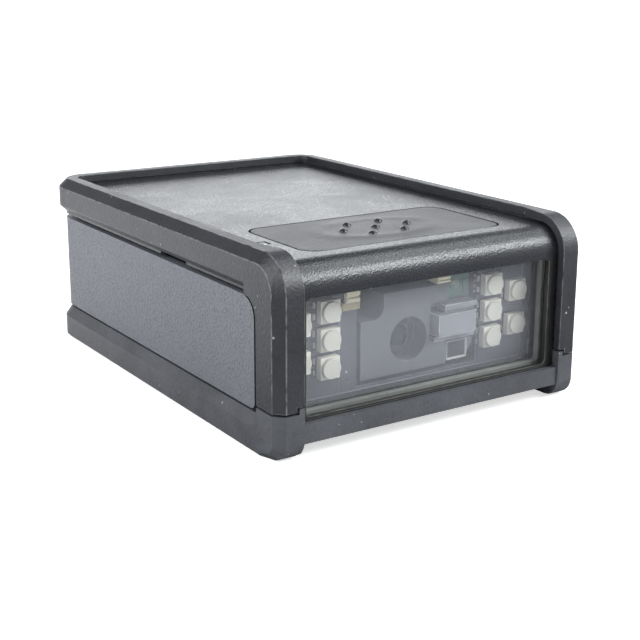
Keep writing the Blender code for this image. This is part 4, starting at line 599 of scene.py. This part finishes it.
# %% [markdown]
# ## The trigger pad
# The pad is soft rubber in the top plate: flush with it, with a rounded rim, a low oval swelling in its
# middle, and seven glossy dots that a finger finds without looking. The solid model gives its outline and
# the hidden tongue that holds it. Its top is cut off a little below the surface and grown again, and that
# new face is cut into a fine grid, which the swelling needs.

# %% New top for the trigger pad
PAD_SKIN = 0.3
PAD_RIM = 0.22
cover_top = box_mm("top_cover")[1].z
shape = merged_copy("trigger_pad")
everything = shape.verts[:] + shape.edges[:] + shape.faces[:]
cut_height = (0, 0, (cover_top - PAD_SKIN) * MM)
cut = bmesh.ops.bisect_plane(
    shape, geom=everything, plane_co=cut_height, plane_no=(0, 0, 1), clear_outer=True
)
rim = [item for item in cut["geom_cut"] if isinstance(item, bmesh.types.BMEdge)]
cap = bmesh.ops.edgeloop_fill(shape, edges=rim)["faces"]
pad_outline = [vert.co.y / MM for vert in pull(shape, cap, (0, 0, PAD_SKIN), keep=False)]
pad_middle = (min(pad_outline) + max(pad_outline)) / 2
print("pad edges rounded:", soften(shape, PAD_RIM * MM, 3))

# %% Grid across the top
GRID_STEP = 0.8
GRID_REACH = (17, 9)


def at_top(vert):
    return abs(vert.co.z / MM - cover_top) < 0.01


for axis, reach in enumerate(GRID_REACH):
    normal = Vector((1, 0, 0)) if axis == 0 else Vector((0, 1, 0))
    steps = int(reach / GRID_STEP)
    for step in range(-steps, steps + 1):
        faces = [face for face in shape.faces if all(at_top(vert) for vert in face.verts)]
        parts = {part for face in faces for part in (*face.verts, *face.edges)}
        place = normal * step * GRID_STEP * MM + Vector((0, pad_middle * MM, 0))
        bmesh.ops.bisect_plane(shape, geom=faces + list(parts), plane_co=place, plane_no=normal)
print("pad faces:", len(shape.faces))

# %% Seam and swelling of the pad
# The pad shrinks a little round its middle, and the gap that this opens in the cover is its seam.
SEAM_SCALE = 0.995
SEAM_DEPTH = 2.5 * PAD_SKIN
SWELLING = (8.6, 4.9)
SWELLING_HEIGHT = 0.14
RING_WIDTH = 0.2
INSIDE_SHARE = 0.45
bmesh.ops.scale(
    shape,
    verts=[vert for vert in shape.verts if vert.co.z / MM > cover_top - SEAM_DEPTH],
    vec=(SEAM_SCALE, 2 * SEAM_SCALE - 1, 1),
    space=Matrix.Translation((0, -pad_middle * MM, 0)),
)
for vert in filter(at_top, shape.verts):
    away = math.hypot(vert.co.x / MM / SWELLING[0], (vert.co.y / MM - pad_middle) / SWELLING[1])
    ring = math.exp(-(((away - 1) / RING_WIDTH) ** 2))
    share = max(ring, INSIDE_SHARE) if away < 1 else ring
    vert.co.z += SWELLING_HEIGHT * MM * share
pad = own_object("trigger_pad_moulded", shape, ["pad_rubber"], node_body["trigger_pad"])
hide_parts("trigger_pad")
print("swelling:", SWELLING_HEIGHT, "mm high")

# %% Dots of the pad
# Each row is given by its place across the pad and the places of its dots along it.
DOT_RADIUS = 0.7
DOT_SPACING = (5.3, 3.1)
DOT_ROWS = {0: (-1, 0, 1), -1: (-0.5, 0.5), 1: (-0.5, 0.5)}
dot_height = box_mm("trigger_pad")[1].z - DOT_RADIUS
shape = bmesh.new()
for row, columns in DOT_ROWS.items():
    for column in columns:
        dot = bmesh.ops.create_uvsphere(shape, u_segments=28, v_segments=16, radius=DOT_RADIUS * MM)
        place = Vector((column * DOT_SPACING[0], pad_middle + row * DOT_SPACING[1], dot_height))
        bmesh.ops.translate(shape, verts=dot["verts"], vec=place * MM)
own_object("trigger_dots", shape, ["dot_rubber"], node_body["trigger_pad"])
print("dots:", sum(len(columns) for columns in DOT_ROWS.values()))

# %% [markdown]
# ## The lamps
# Ten lamps light the code in front of the reader. Each is a square cream case with a clear disc in front,
# which is nearly as wide as the case, and tin pads hold it to the board. All are the same part, so one
# function makes them, and each is placed by the box of its node.

# %% Lamp function
CASE_EDGE = 0.12
LENS_REACH = 0.8
LENS_SINK = 0.35
LENS_RADIUS = 1.4
LENS_EDGE = 0.14
DISH_RIM = 0.1
DISH_DEPTH = 0.05


def lamp(node):
    """A cream case behind and a clear disc in front, which has a shallow dish in its face."""
    low, high = box_mm(node)
    middle = (low + high) / 2
    face_y = low.y + LENS_REACH
    shape = bmesh.new()
    block(shape, (low.x, face_y, low.z), high)
    soften(shape, CASE_EDGE * MM)
    case = set(shape.faces)
    rod(shape, (middle.x, face_y + 0.1, middle.z), (middle.x, low.y + LENS_SINK, middle.z), LENS_RADIUS)
    front = front_face(set(shape.faces) - case)
    bmesh.ops.bevel(
        shape,
        geom=front.edges[:],
        offset=LENS_EDGE * MM,
        segments=3,
        profile=0.5,
        affect="EDGES",
        material=-1,
    )
    front = front_face(set(shape.faces) - case)
    bmesh.ops.inset_region(shape, faces=[front], thickness=DISH_RIM * MM, depth=-DISH_DEPTH * MM)
    for face in set(shape.faces) - case:
        face.material_index = 1
    surfaces = ["lamp_cream", "lamp_lens"]
    piece = own_object(node + "_case", shape, surfaces, node_body[node])
    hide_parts(node)


print("lamp disc:", 2 * LENS_RADIUS, "mm wide")

# %% Ten lamps
lamp_names = sorted(name for name in nodes if name.startswith("lamp_"))
for name in lamp_names:
    lamp(name)
print("lamps:", len(lamp_names))

# %% [markdown]
# ## The board behind the window
# The board carries more than lamps: tin pads at each lamp, thin copper lines under the dark lacquer, a row
# of test pads, and two connectors at its upper edge. They are a tenth of a millimetre high, so they could
# be paint, but as real solids they catch the light from every side. The board's lettering is left out.

# %% Tin pads of the lamps
BURIED = 0.05
TIN_GAP = 0.02
TIN_WIDTH = 0.4
TIN_LENGTH = 0.8
TIN_LIFT = 0.16
TIN_RISES = (0.35, 1.85)
board_face = box_mm("illumination_board")[0].y
inside_board = board_face + BURIED
tin_face = board_face - TIN_LIFT
shape = bmesh.new()
for name in lamp_names:
    low, high = box_mm(name)
    for side in (low.x - TIN_GAP - TIN_WIDTH, high.x + TIN_GAP):
        for foot in (low.z + rise for rise in TIN_RISES):
            block(shape, (side, tin_face, foot), (side + TIN_WIDTH, inside_board, foot + TIN_LENGTH))
print("tin pads:", len(TIN_RISES) * 2 * len(lamp_names))

# %% Test pads
TEST_PADS = 4
TEST_PITCH = 0.75
TEST_WIDTH = 0.22
TEST_LENGTH = 0.35
TEST_LIFT = 0.08
TEST_AWAY = 0.95
TEST_RISE = 0.35
ROUND_PLACE = (-10.3, 7.8)
ROUND_RADIUS = 0.18
ROUND_LIFT = 0.1
right_lamp = box_mm("lamp_right_1")[0]
low_x = right_lamp.x - TEST_AWAY
for step in range(TEST_PADS):
    foot = right_lamp.z + TEST_RISE + step * TEST_PITCH
    low = (low_x, board_face - TEST_LIFT, foot)
    block(shape, low, (low_x + TEST_WIDTH, inside_board, foot + TEST_LENGTH))
x, z = ROUND_PLACE
rod(shape, (x, inside_board, z), (x, board_face - ROUND_LIFT, z), ROUND_RADIUS, 16)
soften(shape, 0.05 * MM, 1)
own_object("board_tin_pads", shape, ["solder_tin"])
print("test pads:", TEST_PADS + 1)

# %% Copper lines
# The upright ones are given by their x, foot and top, and two more cross the board above each named lamp.
LINE_WIDTH = 0.14
LINE_LIFT = 0.04
UPRIGHT_LINES = {19.7: (6.4, 19.9), -7.2: (6.6, 13.6), -11.5: (5.6, 16.0), 11.55: (5.6, 14.6)}
LINED_LAMPS = ("left_2", "left_3", "left_5", "right_2", "right_3", "right_5")
LINE_RISES = (0.22, 0.5)
EDGE_LINE_END = 19.9
EDGE_LINE_LIFT = 0.05
EDGE_LINE_HEIGHTS = (4.85, 5.1)
line_face = board_face - LINE_LIFT
shape = bmesh.new()
for x, (foot, top) in UPRIGHT_LINES.items():
    block(shape, (x, line_face, foot), (x + LINE_WIDTH, inside_board, top))
for name in LINED_LAMPS:
    low, high = box_mm("lamp_" + name)
    for foot in (high.z + rise for rise in LINE_RISES):
        block(shape, (low.x - 0.6, line_face, foot), (high.x + 0.3, inside_board, foot + LINE_WIDTH))
foot, top = EDGE_LINE_HEIGHTS
block(shape, (-EDGE_LINE_END, board_face - EDGE_LINE_LIFT, foot), (EDGE_LINE_END, inside_board, top))
soften(shape, 0.02 * MM, 1)
own_object("board_copper_lines", shape, ["board_line"])
print("copper lines:", len(UPRIGHT_LINES) + len(LINE_RISES) * len(LINED_LAMPS) + 1)

# %% Connector of the lamp board
# Two bars stand out from its body, and a gilt foot below it lies on the board.
BODY_SINK = 0.25
BAR_DEPTH = 0.4
low, high = box_mm("illumination_connector")
shape = bmesh.new()
block(shape, (low.x, low.y + BODY_SINK, low.z), high)
for foot, top in ((low.z + 0.15, low.z + 0.7), (low.z + 0.95, high.z - 0.1)):
    block(shape, (low.x, low.y, foot), (high.x, low.y + BAR_DEPTH, top))
soften(shape, 0.08 * MM)
plastic = set(shape.faces)
foot_low = (low.x - 0.2, high.y - 0.15, low.z - 1.05)
block(shape, foot_low, (high.x + 0.4, inside_board, low.z - 0.08))
for face in set(shape.faces) - plastic:
    face.material_index = 1
surfaces = ["connector_cream", "tail_gilt"]
piece = own_object("illumination_connector_cream", shape, surfaces)
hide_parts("illumination_connector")
print("lamp connector:", round(high.x - low.x, 2), "mm wide")

# %% Connector of the camera
RIDGES = 3
RIDGE_DEPTH = 0.6
RIDGE_GAP = 0.06
low, high = box_mm("sensor_connector")
shape = bmesh.new()
block(shape, (low.x + 0.05, low.y + 0.3, low.z), high)
pitch = (high.z - low.z) / RIDGES
for ridge in range(RIDGES):
    foot = low.z + ridge * pitch
    block(shape, (low.x, low.y, foot + RIDGE_GAP), (high.x, low.y + RIDGE_DEPTH, foot + pitch - RIDGE_GAP))
soften(shape, 0.06 * MM)
piece = own_object("sensor_connector_cream", shape, ["connector_cream"])
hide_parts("sensor_connector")
print("connector ridges:", RIDGES)

# %% [markdown]
# ## The aiming lens and the light sensor
# Beside the camera sits a clear moulded lens that throws the aiming mark, with a lip above it and a flange
# below, and under it a small light sensor in a white frame. The lens is a solid block of clear plastic, so
# its edges are what one sees: they are bevelled wide and marked in the edge attribute, and the clear
# material paints them as pale lines, which are painted highlights.

# %% Aiming lens
BLOCK_TOP = 13.7
FRONT_CORNER = 1.3
FACE_RIM = 0.2
FACE_SINK = 0.05
low, high = box_mm("aimer_lens")
shape = bmesh.new()
block(shape, (low.x + 0.05, low.y, low.z + 0.15), (high.x, high.y - 0.05, BLOCK_TOP))
corner = [
    edge
    for edge in shape.edges
    if all(vert.co.x > (high.x - 0.1) * MM and vert.co.y < (low.y + 0.1) * MM for vert in edge.verts)
]
bmesh.ops.bevel(
    shape, geom=corner, offset=FRONT_CORNER * MM, segments=6, profile=0.5, affect="EDGES", material=-1
)
front = front_face(shape.faces)
bmesh.ops.inset_region(shape, faces=[front], thickness=FACE_RIM * MM, depth=-FACE_SINK * MM)
ledge_low = (low.x + 1.7, low.y + 0.75, BLOCK_TOP + 0.35)
neck_low = (low.x + 1.9, low.y + 1.1, BLOCK_TOP - 0.1)
neck_high = (high.x - 0.3, high.y - 0.2, BLOCK_TOP + 0.5)
block(shape, ledge_low, high)
block(shape, neck_low, neck_high)
print("aiming lens edges rounded:", soften(shape, 0.1 * MM))
piece = own_object("aimer_lens_clear", shape, ["clear_plastic"])
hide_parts("aimer_lens")

# %% Lens foot and sensor funnel
# Each wing of the funnel rises from the sensor's side to its own outer end.
LEFT_WING = 2.3
RIGHT_WING = 1.3
WING_THICK = 0.25
sensor_low, sensor_high = box_mm("light_sensor")
shape = bmesh.new()
flange_low = (low.x + 0.1, low.y + 1.0, low.z - 0.75)
block(shape, flange_low, (high.x - 0.1, high.y, low.z - 0.15))
wings = ((sensor_low.x, sensor_low.x - LEFT_WING), (sensor_high.x, sensor_high.x + RIGHT_WING))
for inner, outer in wings:
    near_x, far_x = sorted((inner, outer))
    foot = (near_x, sensor_low.y + 0.1, sensor_low.z + 0.4)
    for vert in block(shape, foot, (far_x, sensor_high.y, sensor_high.z)):
        if abs(vert.co.x / MM - outer) < 0.01 and vert.co.z / MM < sensor_high.z - 0.5:
            vert.co.z = (sensor_high.z - WING_THICK) * MM
soften(shape, 0.1 * MM)
own_object("sensor_funnel", shape, ["clear_plastic"])
print("funnel wings:", len(wings))

# %% Light sensor
FRAME_WIDTH = 0.28
WINDOW_EDGE = 0.04
WINDOW_SINK = 0.22
shape = bmesh.new()
block(shape, sensor_low, sensor_high)
window = front_face(shape.faces)
bmesh.ops.inset_region(shape, faces=[window], thickness=FRAME_WIDTH * MM, depth=0.0)
bmesh.ops.inset_region(shape, faces=[window], thickness=WINDOW_EDGE * MM, depth=-WINDOW_SINK * MM)
window_centre = window.calc_center_median()
soften(shape, 0.06 * MM, 1)
window = min(shape.faces, key=lambda face: (face.calc_center_median() - window_centre).length)
window.material_index = 1
surfaces = ["sensor_frame", "chip_black"]
piece = own_object("light_sensor_framed", shape, surfaces)
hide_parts("light_sensor")
print("sensor frame:", FRAME_WIDTH, "mm wide")

# %% Aiming board
# A small green board over the lens, with a blob of solder and an upright part beside it.
HOLDER_FACE = -27.2
BOARD_LIFT = 0.25
BLOB_RADIUS = 0.8
BLOB_PLACE = Vector((8.4, HOLDER_FACE - BOARD_LIFT, 16.9))
BLOB_END = 9.6
BOARD_LOW = (6.3, HOLDER_FACE - BOARD_LIFT, 14.95)
BOARD_HIGH = (11.1, HOLDER_FACE + BURIED, 18.2)
PART_LOW = (9.8, HOLDER_FACE - 0.55, 15.5)
PART_HIGH = (10.7, HOLDER_FACE - 0.2, 17.4)
shape = bmesh.new()
block(shape, BOARD_LOW, BOARD_HIGH)
blob = bmesh.ops.create_uvsphere(shape, u_segments=24, v_segments=14, radius=BLOB_RADIUS * MM)["verts"]
bmesh.ops.scale(shape, verts=blob, vec=(1, 0.5, 1))
bmesh.ops.translate(shape, verts=blob, vec=BLOB_PLACE * MM)
block(shape, PART_LOW, PART_HIGH)
soften(shape, 0.06 * MM, 1)
for face in shape.faces:
    centre = face.calc_center_median() / MM
    face.material_index = int(centre.y < HOLDER_FACE - BOARD_LIFT - 0.02 and centre.x < BLOB_END)
own_object("aimer_board", shape, ["board_green", "solder_dull"])
print("aiming board at", HOLDER_FACE)

# %% [markdown]
# ## The camera lens
# Deep in the round opening sits the front glass of the camera, a shallow dome in a ring. It is turned on a
# lathe, and so is the mesh: a short profile goes once round the axis with the spin operator.


# %% Lathe helper
TURN_STEPS = 48


def turned(shape, profile, centre):
    """Spins (radius, y) points in millimetres round an axis along Y, and closes the seam."""
    points = [shape.verts.new(Vector((centre.x + radius, y, centre.z)) * MM) for radius, y in profile]
    edges = [shape.edges.new(pair) for pair in zip(points, points[1:])]
    bmesh.ops.spin(
        shape,
        geom=points + edges,
        cent=Vector((centre.x, 0, centre.z)) * MM,
        axis=(0, 1, 0),
        angle=math.tau,
        steps=TURN_STEPS,
        use_merge=True,
    )
    bmesh.ops.remove_doubles(shape, verts=shape.verts, dist=MERGE)
    bmesh.ops.recalc_face_normals(shape, faces=shape.faces)


print("lathe steps:", TURN_STEPS)

# %% Front glass of the camera
DOME_SHARE = 0.82
DOME_DEPTH = 0.38
DOME_EDGE = 0.42
DOME_STEPS = 6
low, high = box_mm("front_lens")
centre = (low + high) / 2
radius = (high.x - low.x) / 2
dome = []
for step in range(DOME_STEPS + 1):
    depth = DOME_DEPTH * (step / DOME_STEPS) ** 2
    dome.append((radius * DOME_SHARE * step / DOME_STEPS, low.y + depth))
shape = bmesh.new()
turned(shape, dome + [(radius, low.y + DOME_EDGE), (radius, high.y), (0, high.y)], centre)
piece = own_object("front_lens_glass", shape, ["lens_glass"])
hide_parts("front_lens")
print("lens radius:", round(radius, 2))

# %% Ring round the front glass
# Its profile is in shares of the glass's radius, and in millimetres behind the front of the glass.
RING_PROFILE = [(0.8, -0.1), (1.02, -0.25), (1.18, -0.25), (1.18, 0.25), (0.84, 0.25), (0.8, -0.1)]
shape = bmesh.new()
turned(shape, [(radius * share, low.y + depth) for share, depth in RING_PROFILE], centre)
# The ring's outward edges go pale through the wear of lens_black: painted highlights in the opening.
soften(shape, 0.05 * MM, 1)
own_object("front_lens_ring", shape, ["lens_black"])
print("ring profile:", len(RING_PROFILE) - 1, "sides")

# %% [markdown]
# ## Layers round the window
# A window like this is a stack: a grey lip in front of the pane, the pale seal behind it, a black holder
# with a clear film, and a black frame round the board. In front of them lies a thin black sheet over the
# pillars beside the opening and over the sill, which is painted shade. Seen at a slant the layers are thin
# stripes of grey and black along the sill and the right jamb. Each layer is one closed frame with rounded
# corners.

# %% Window frames
OPENING_LOW = (-20.1, 4.8)
OPENING_HIGH = (20.1, 20.25)
CORNER = 0.6


def window_layer(name, surface, inset, front, back, reach=(0.15, 0.15, 0.15)):
    """A frame that shows inset inside the opening and goes reach outside it: sides, sill, top."""
    side, sill, top = inset
    outer_side, outer_sill, outer_top = reach
    inner_low = (OPENING_LOW[0] + side, OPENING_LOW[1] + sill)
    inner_high = (OPENING_HIGH[0] - side, OPENING_HIGH[1] - top)
    outer_low = (OPENING_LOW[0] - outer_side, OPENING_LOW[1] - outer_sill)
    outer_high = (OPENING_HIGH[0] + outer_side, OPENING_HIGH[1] + outer_top)
    shape = bmesh.new()
    frame_ring(shape, (inner_low, inner_high), (outer_low, outer_high), CORNER, front, back)
    soften(shape, 0.07 * MM)
    own_object(name, shape, [surface])
    print("window layer:", name)


# The first layer is painted shade: a thin black sheet over the pillars beside the opening and over the
# sill below it, standing in for the shadow there.
window_layer(
    "window_shade_sheet",
    "gasket_and_shade_black",
    inset=(0.0, 0.0, 0.0),
    front=-34.06,
    back=-33.97,
    reach=(0.9, 0.5, 0.05),
)
window_layer("window_lip", "lip_olive", (0.25, 0.35, 0.02), front=-33.95, back=-33.2)
window_layer("seal_face", "seal_grey", (0.08, 0.45, 0.02), front=-32.25, back=-31.4)
window_layer("film_holder", "gasket_and_shade_black", (0.72, 0.6, 0.05), front=-31.35, back=-31.0)
window_layer("board_surround", "gasket_and_shade_black", (0.14, 0.18, 0.02), front=-30.0, back=-28.7)

# %% Clear film behind the seal
FILM_LOW = (-19.45, -30.97, 5.33)
FILM_HIGH = (19.45, -30.9, 20.22)
shape = bmesh.new()
block(shape, FILM_LOW, FILM_HIGH)
soften(shape, 0.02 * MM, 1)
own_object("window_film", shape, ["clear_film"])
print("film:", round(FILM_HIGH[0] - FILM_LOW[0], 2), "mm wide")

# %% [markdown]
# ## Lips beside the side panels
# A dark line runs down the front edge of the side panel and round its corners. It is painted shade: a thin
# black strip that closes the gap between the rubber leg and the panel and stands a hair proud of the
# panel, in place of the shadow in that gap. The part of the strip that the leg doesn't hide reads as the
# line.

# %% Painted shade strips beside the panels
PANEL_FACE = 24.0
SHADE_STRIP_PROUD = 0.04
SHADE_STRIP_FRONT = -29.86
SHADE_STRIP_REAR = -28.45
SHADE_STRIP_LOW = 5.22
SHADE_STRIP_HIGH = 19.62
HIGH_CORNER = 2.6
LOW_CORNER = 0.9
ARC_STEPS = 6


def shade_strip_line():
    """Corners of the painted shade strip as (y, z) in millimetres, from its lower front edge round to its
    upper one.
    """
    quarter = [math.radians(90) * step / ARC_STEPS for step in range(ARC_STEPS + 1)]
    line = [(SHADE_STRIP_FRONT, SHADE_STRIP_LOW)]
    for angle in quarter:
        y = SHADE_STRIP_REAR + LOW_CORNER * (1 - math.sin(angle))
        line.append((y, SHADE_STRIP_LOW + LOW_CORNER * (1 - math.cos(angle))))
    for angle in quarter:
        y = SHADE_STRIP_REAR + HIGH_CORNER * (1 - math.cos(angle))
        line.append((y, SHADE_STRIP_HIGH - HIGH_CORNER * (1 - math.sin(angle))))
    line.append((SHADE_STRIP_FRONT, SHADE_STRIP_HIGH))
    return line


for name, side in (("panel_lip_left", -1), ("panel_lip_right", 1)):
    shape = bmesh.new()
    x = side * (PANEL_FACE + SHADE_STRIP_PROUD)
    corners = [shape.verts.new(Vector((x, y, z)) * MM) for y, z in shade_strip_line()]
    pull(shape, [shape.faces.new(corners)], (-side * 2 * SHADE_STRIP_PROUD, 0, 0))
    own_object(name, shape, ["shade_strip_black"])
    print(name, "corners:", len(corners))

# %% [markdown]
# ## Screws of the underside
# Four screws close the case from below. Their heads have a hexagonal socket, which starts as a smaller
# copy of the head's round face: its points are pushed onto a hexagon, and the face goes down into the
# head.

# %% Case screws
SOCKET_RADIUS = 1.0
SOCKET_ROOM = 0.1
SOCKET_DEPTH = 0.9
HALF_SIDE = math.radians(30)
for name in sorted(nodes):
    if not name.startswith("case_screw"):
        continue
    low, high = box_mm(name)
    middle = (low + high) / 2
    shape = merged_copy(name)
    cap = min(shape.faces, key=lambda face: face.calc_center_median().z)
    rim = (high.x - low.x) / 2 * MM - (SOCKET_RADIUS + SOCKET_ROOM) * MM
    bmesh.ops.inset_region(shape, faces=[cap], thickness=rim)
    for vert in cap.verts:
        angle = math.atan2(vert.co.y - middle.y * MM, vert.co.x - middle.x * MM)
        from_middle = angle % (2 * HALF_SIDE) - HALF_SIDE
        reach = SOCKET_RADIUS * MM * math.cos(HALF_SIDE) / math.cos(from_middle)
        vert.co.x = middle.x * MM + math.cos(angle) * reach
        vert.co.y = middle.y * MM + math.sin(angle) * reach
    grown = bmesh.ops.extrude_discrete_faces(shape, faces=[cap])["faces"]
    bmesh.ops.translate(shape, verts=grown[0].verts[:], vec=(0, 0, SOCKET_DEPTH * MM))
    count = soften(shape, 0.08 * MM, 1)
    piece = own_object(name + "_head", shape, ["screw_steel"], node_body[name])
    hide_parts(name)
    print(name, "edges rounded:", count)

# %% [markdown]
# ## Contacts of the cable socket
# Ten gilt wires lie side by side under the roof of the socket, each bent down a little towards the
# plug. One wire is a thin bar cut across twice, and the cut near its mouth is pushed down, which bends it.

# %% Socket contacts
WIRES = 10
WIRE_THICK = 0.3
WIRE_START = 0.22
WIRE_SHARE = 0.56
BEND_FROM_FRONT = 3
BEND_FROM_BACK = 1.5
low, high = box_mm("jack_contacts")
shape = bmesh.new()
pitch = (high.x - low.x) / WIRES
for wire in range(WIRES):
    start = low.x + (wire + WIRE_START) * pitch
    block(shape, (start, low.y, high.z - WIRE_THICK), (start + WIRE_SHARE * pitch, high.y, high.z))
bend = high.y - BEND_FROM_BACK
for place in (low.y + BEND_FROM_FRONT, bend):
    everything = shape.verts[:] + shape.edges[:] + shape.faces[:]
    bmesh.ops.bisect_plane(shape, geom=everything, plane_co=(0, place * MM, 0), plane_no=(0, 1, 0))
for vert in shape.verts:
    if abs(vert.co.y / MM - bend) < 0.01:
        vert.co.z -= (high.z - low.z - WIRE_THICK) * MM
soften(shape, 0.05 * MM, 1)
piece = own_object("jack_contacts_wires", shape, ["contact_gilt"])
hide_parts("jack_contacts")
print("wires:", WIRES)

# %% [markdown]
# ## The strip that keeps its shape
# The amber strip between the camera and the main board is thin and bent already, and rounding it would eat
# it up. It keeps the mesh of the frame and only gets its colour.

# %% Flex strip
strip = nodes["engine_flex"]
strip.data.materials.clear()
strip.data.materials.append(materials[node_slot["engine_flex"]])
print("flex strip:", node_slot["engine_flex"])

# %% [markdown]
# ## Studio
# The reader stands on white paper. World light fills the shadows, and four panels shape the rest: the
# left one lights the side, the brow panel gives the edge over the window its soft highlight, the overhead
# one reaches the chamfers of the corners, and the back one is mirrored in the top plate. The camera sees
# a white background through the Light Path node, while the light itself stays at a plain level.

# %% World
world = bpy.data.worlds.new("studio")
bpy.context.scene.world = world
world.use_nodes = True
tree = world.node_tree
FILL = 0.3
SKY_EDGE = 0.05
SKY_END = 0.4
SKY_TONE = 0.1
rays = add(tree, "LightPath")
direction = add(tree, "SeparateXYZ", {"Vector": add(tree, "TexCoord").outputs["Generated"]})
fade = {"From Min": SKY_EDGE, "From Max": SKY_END, "To Min": 1.0, "To Max": SKY_TONE}
horizon = add(tree, "MapRange", {"Value": direction.outputs["Z"], **fade})
seen = calc(tree, "MAXIMUM", rays.outputs["Is Camera Ray"], rays.outputs["Is Transmission Ray"])
mirrored = calc(tree, "MULTIPLY", rays.outputs["Is Glossy Ray"], horizon.outputs["Result"])
direct = calc(tree, "MAXIMUM", seen, mirrored)
hidden = calc(tree, "SUBTRACT", 1.0, calc(tree, "MAXIMUM", seen, rays.outputs["Is Glossy Ray"]))
strength = calc(tree, "ADD", direct, calc(tree, "MULTIPLY", hidden, FILL))
feed(tree, tree.nodes["Background"].inputs["Strength"], strength)
tree.nodes["Background"].inputs["Color"].default_value = (1, 1, 1, 1)
bpy.context.scene.view_settings.view_transform = "Standard"
print("world light:", FILL)

# %% Lamps of the studio
DAYLIGHT = (0.95, 0.98, 1.0)
AIM = Vector((0, 0, 0.012))


def area_light(name, place, size, power):
    """A rectangular lamp that looks at the reader, in metres and watts."""
    light = bpy.data.lights.new(name, "AREA")
    light.shape = "RECTANGLE"
    light.size, light.size_y = size
    light.energy = power
    light.color = DAYLIGHT
    item = bpy.data.objects.new(name, light)
    item.location = place
    item.rotation_euler = (AIM - Vector(place)).to_track_quat("-Z", "Y").to_euler()
    bpy.context.scene.collection.objects.link(item)
    print("lamp:", name)


area_light("left_panel", place=(-0.6, 0.04, 0.38), size=(0.6, 0.5), power=4.3)
area_light("brow_panel", place=(0.4, -0.45, 0.43), size=(0.5, 0.24), power=6.0)
area_light("overhead_panel", place=(0.3, -0.08, 0.5), size=(0.4, 0.2), power=1.2)
area_light("back_panel", place=(0.4, 0.6, 0.19), size=(0.8, 0.3), power=1.6)

# %% [markdown]
# ## White paper that still takes a shadow
# The camera sees the paper with a glow added to its own shade, so it is white and the shadow stays. The
# glow rises with the distance, so that the sheet never ends in a grey band. Soft light from below comes
# from the plain paper alone. What mirrors the paper sees it bright behind the reader and darker in front
# of it, which keeps the faces that look forward dark.

# %% Floor sheet
FLOOR_REACH = 20.0
floor_mesh = bmesh.new()
bmesh.ops.create_grid(floor_mesh, x_segments=1, y_segments=1, size=FLOOR_REACH)
mesh = bpy.data.meshes.new("floor")
floor_mesh.to_mesh(mesh)
floor_mesh.free()
floor = bpy.data.objects.new("floor", mesh)
bpy.context.scene.collection.objects.link(floor)
paper = bpy.data.materials.new("floor_paper")
paper.use_nodes = True
mesh.materials.append(paper)
print("floor:", FLOOR_REACH, "m each way")

# %% Glow of the paper
NEAR_GLOW = 0.62
FAR_GLOW = 1.0
GLOW_START = 0.5
GLOW_END = 2.0
tree = paper.node_tree
shader = tree.nodes["Principled BSDF"]
shader.inputs["Roughness"].default_value = 0.9
shader.inputs["Specular IOR Level"].default_value = 0.0
position = add(tree, "NewGeometry").outputs["Position"]
distance = add(tree, "VectorMath", {0: position}, operation="LENGTH")
rise = {"From Min": GLOW_START, "From Max": GLOW_END, "To Min": NEAR_GLOW, "To Max": FAR_GLOW}
lift = add(tree, "MapRange", {"Value": distance.outputs["Value"], **rise})
glow = add(tree, "Emission", {"Color": (1, 1, 1, 1), "Strength": lift.outputs["Result"]})
lifted = add(tree, "AddShader", {0: shader.outputs[0], 1: glow.outputs[0]})
print("glow:", NEAR_GLOW, "to", FAR_GLOW)

# %% Tone that the gloss mirrors
PAPER_TONE = 0.8
MIRRORED_DROP = 0.6
FRONT_Y = -0.03
BEHIND_Y = 0.05
rays = add(tree, "LightPath")
glossy = rays.outputs["Is Glossy Ray"]
place = add(tree, "SeparateXYZ", {"Vector": position})
behind = add(tree, "MapRange", {"Value": place.outputs["Y"], "From Min": FRONT_Y, "From Max": BEHIND_Y})
drop = calc(tree, "MULTIPLY", calc(tree, "SUBTRACT", 1.0, behind.outputs["Result"]), MIRRORED_DROP)
tone = calc(tree, "SUBTRACT", PAPER_TONE, calc(tree, "MULTIPLY", glossy, drop))
feed(tree, shader.inputs["Base Color"], tone)
mirrored = calc(tree, "MULTIPLY", glossy, behind.outputs["Result"])
bright = calc(tree, "MAXIMUM", rays.outputs["Is Camera Ray"], mirrored)
bright = calc(tree, "MAXIMUM", bright, rays.outputs["Is Transmission Ray"])
choose = add(tree, "MixShader", {0: bright, 1: shader.outputs[0], 2: lifted.outputs[0]})
feed(tree, tree.nodes["Material Output"].inputs["Surface"], choose.outputs[0])
print("studio ready")
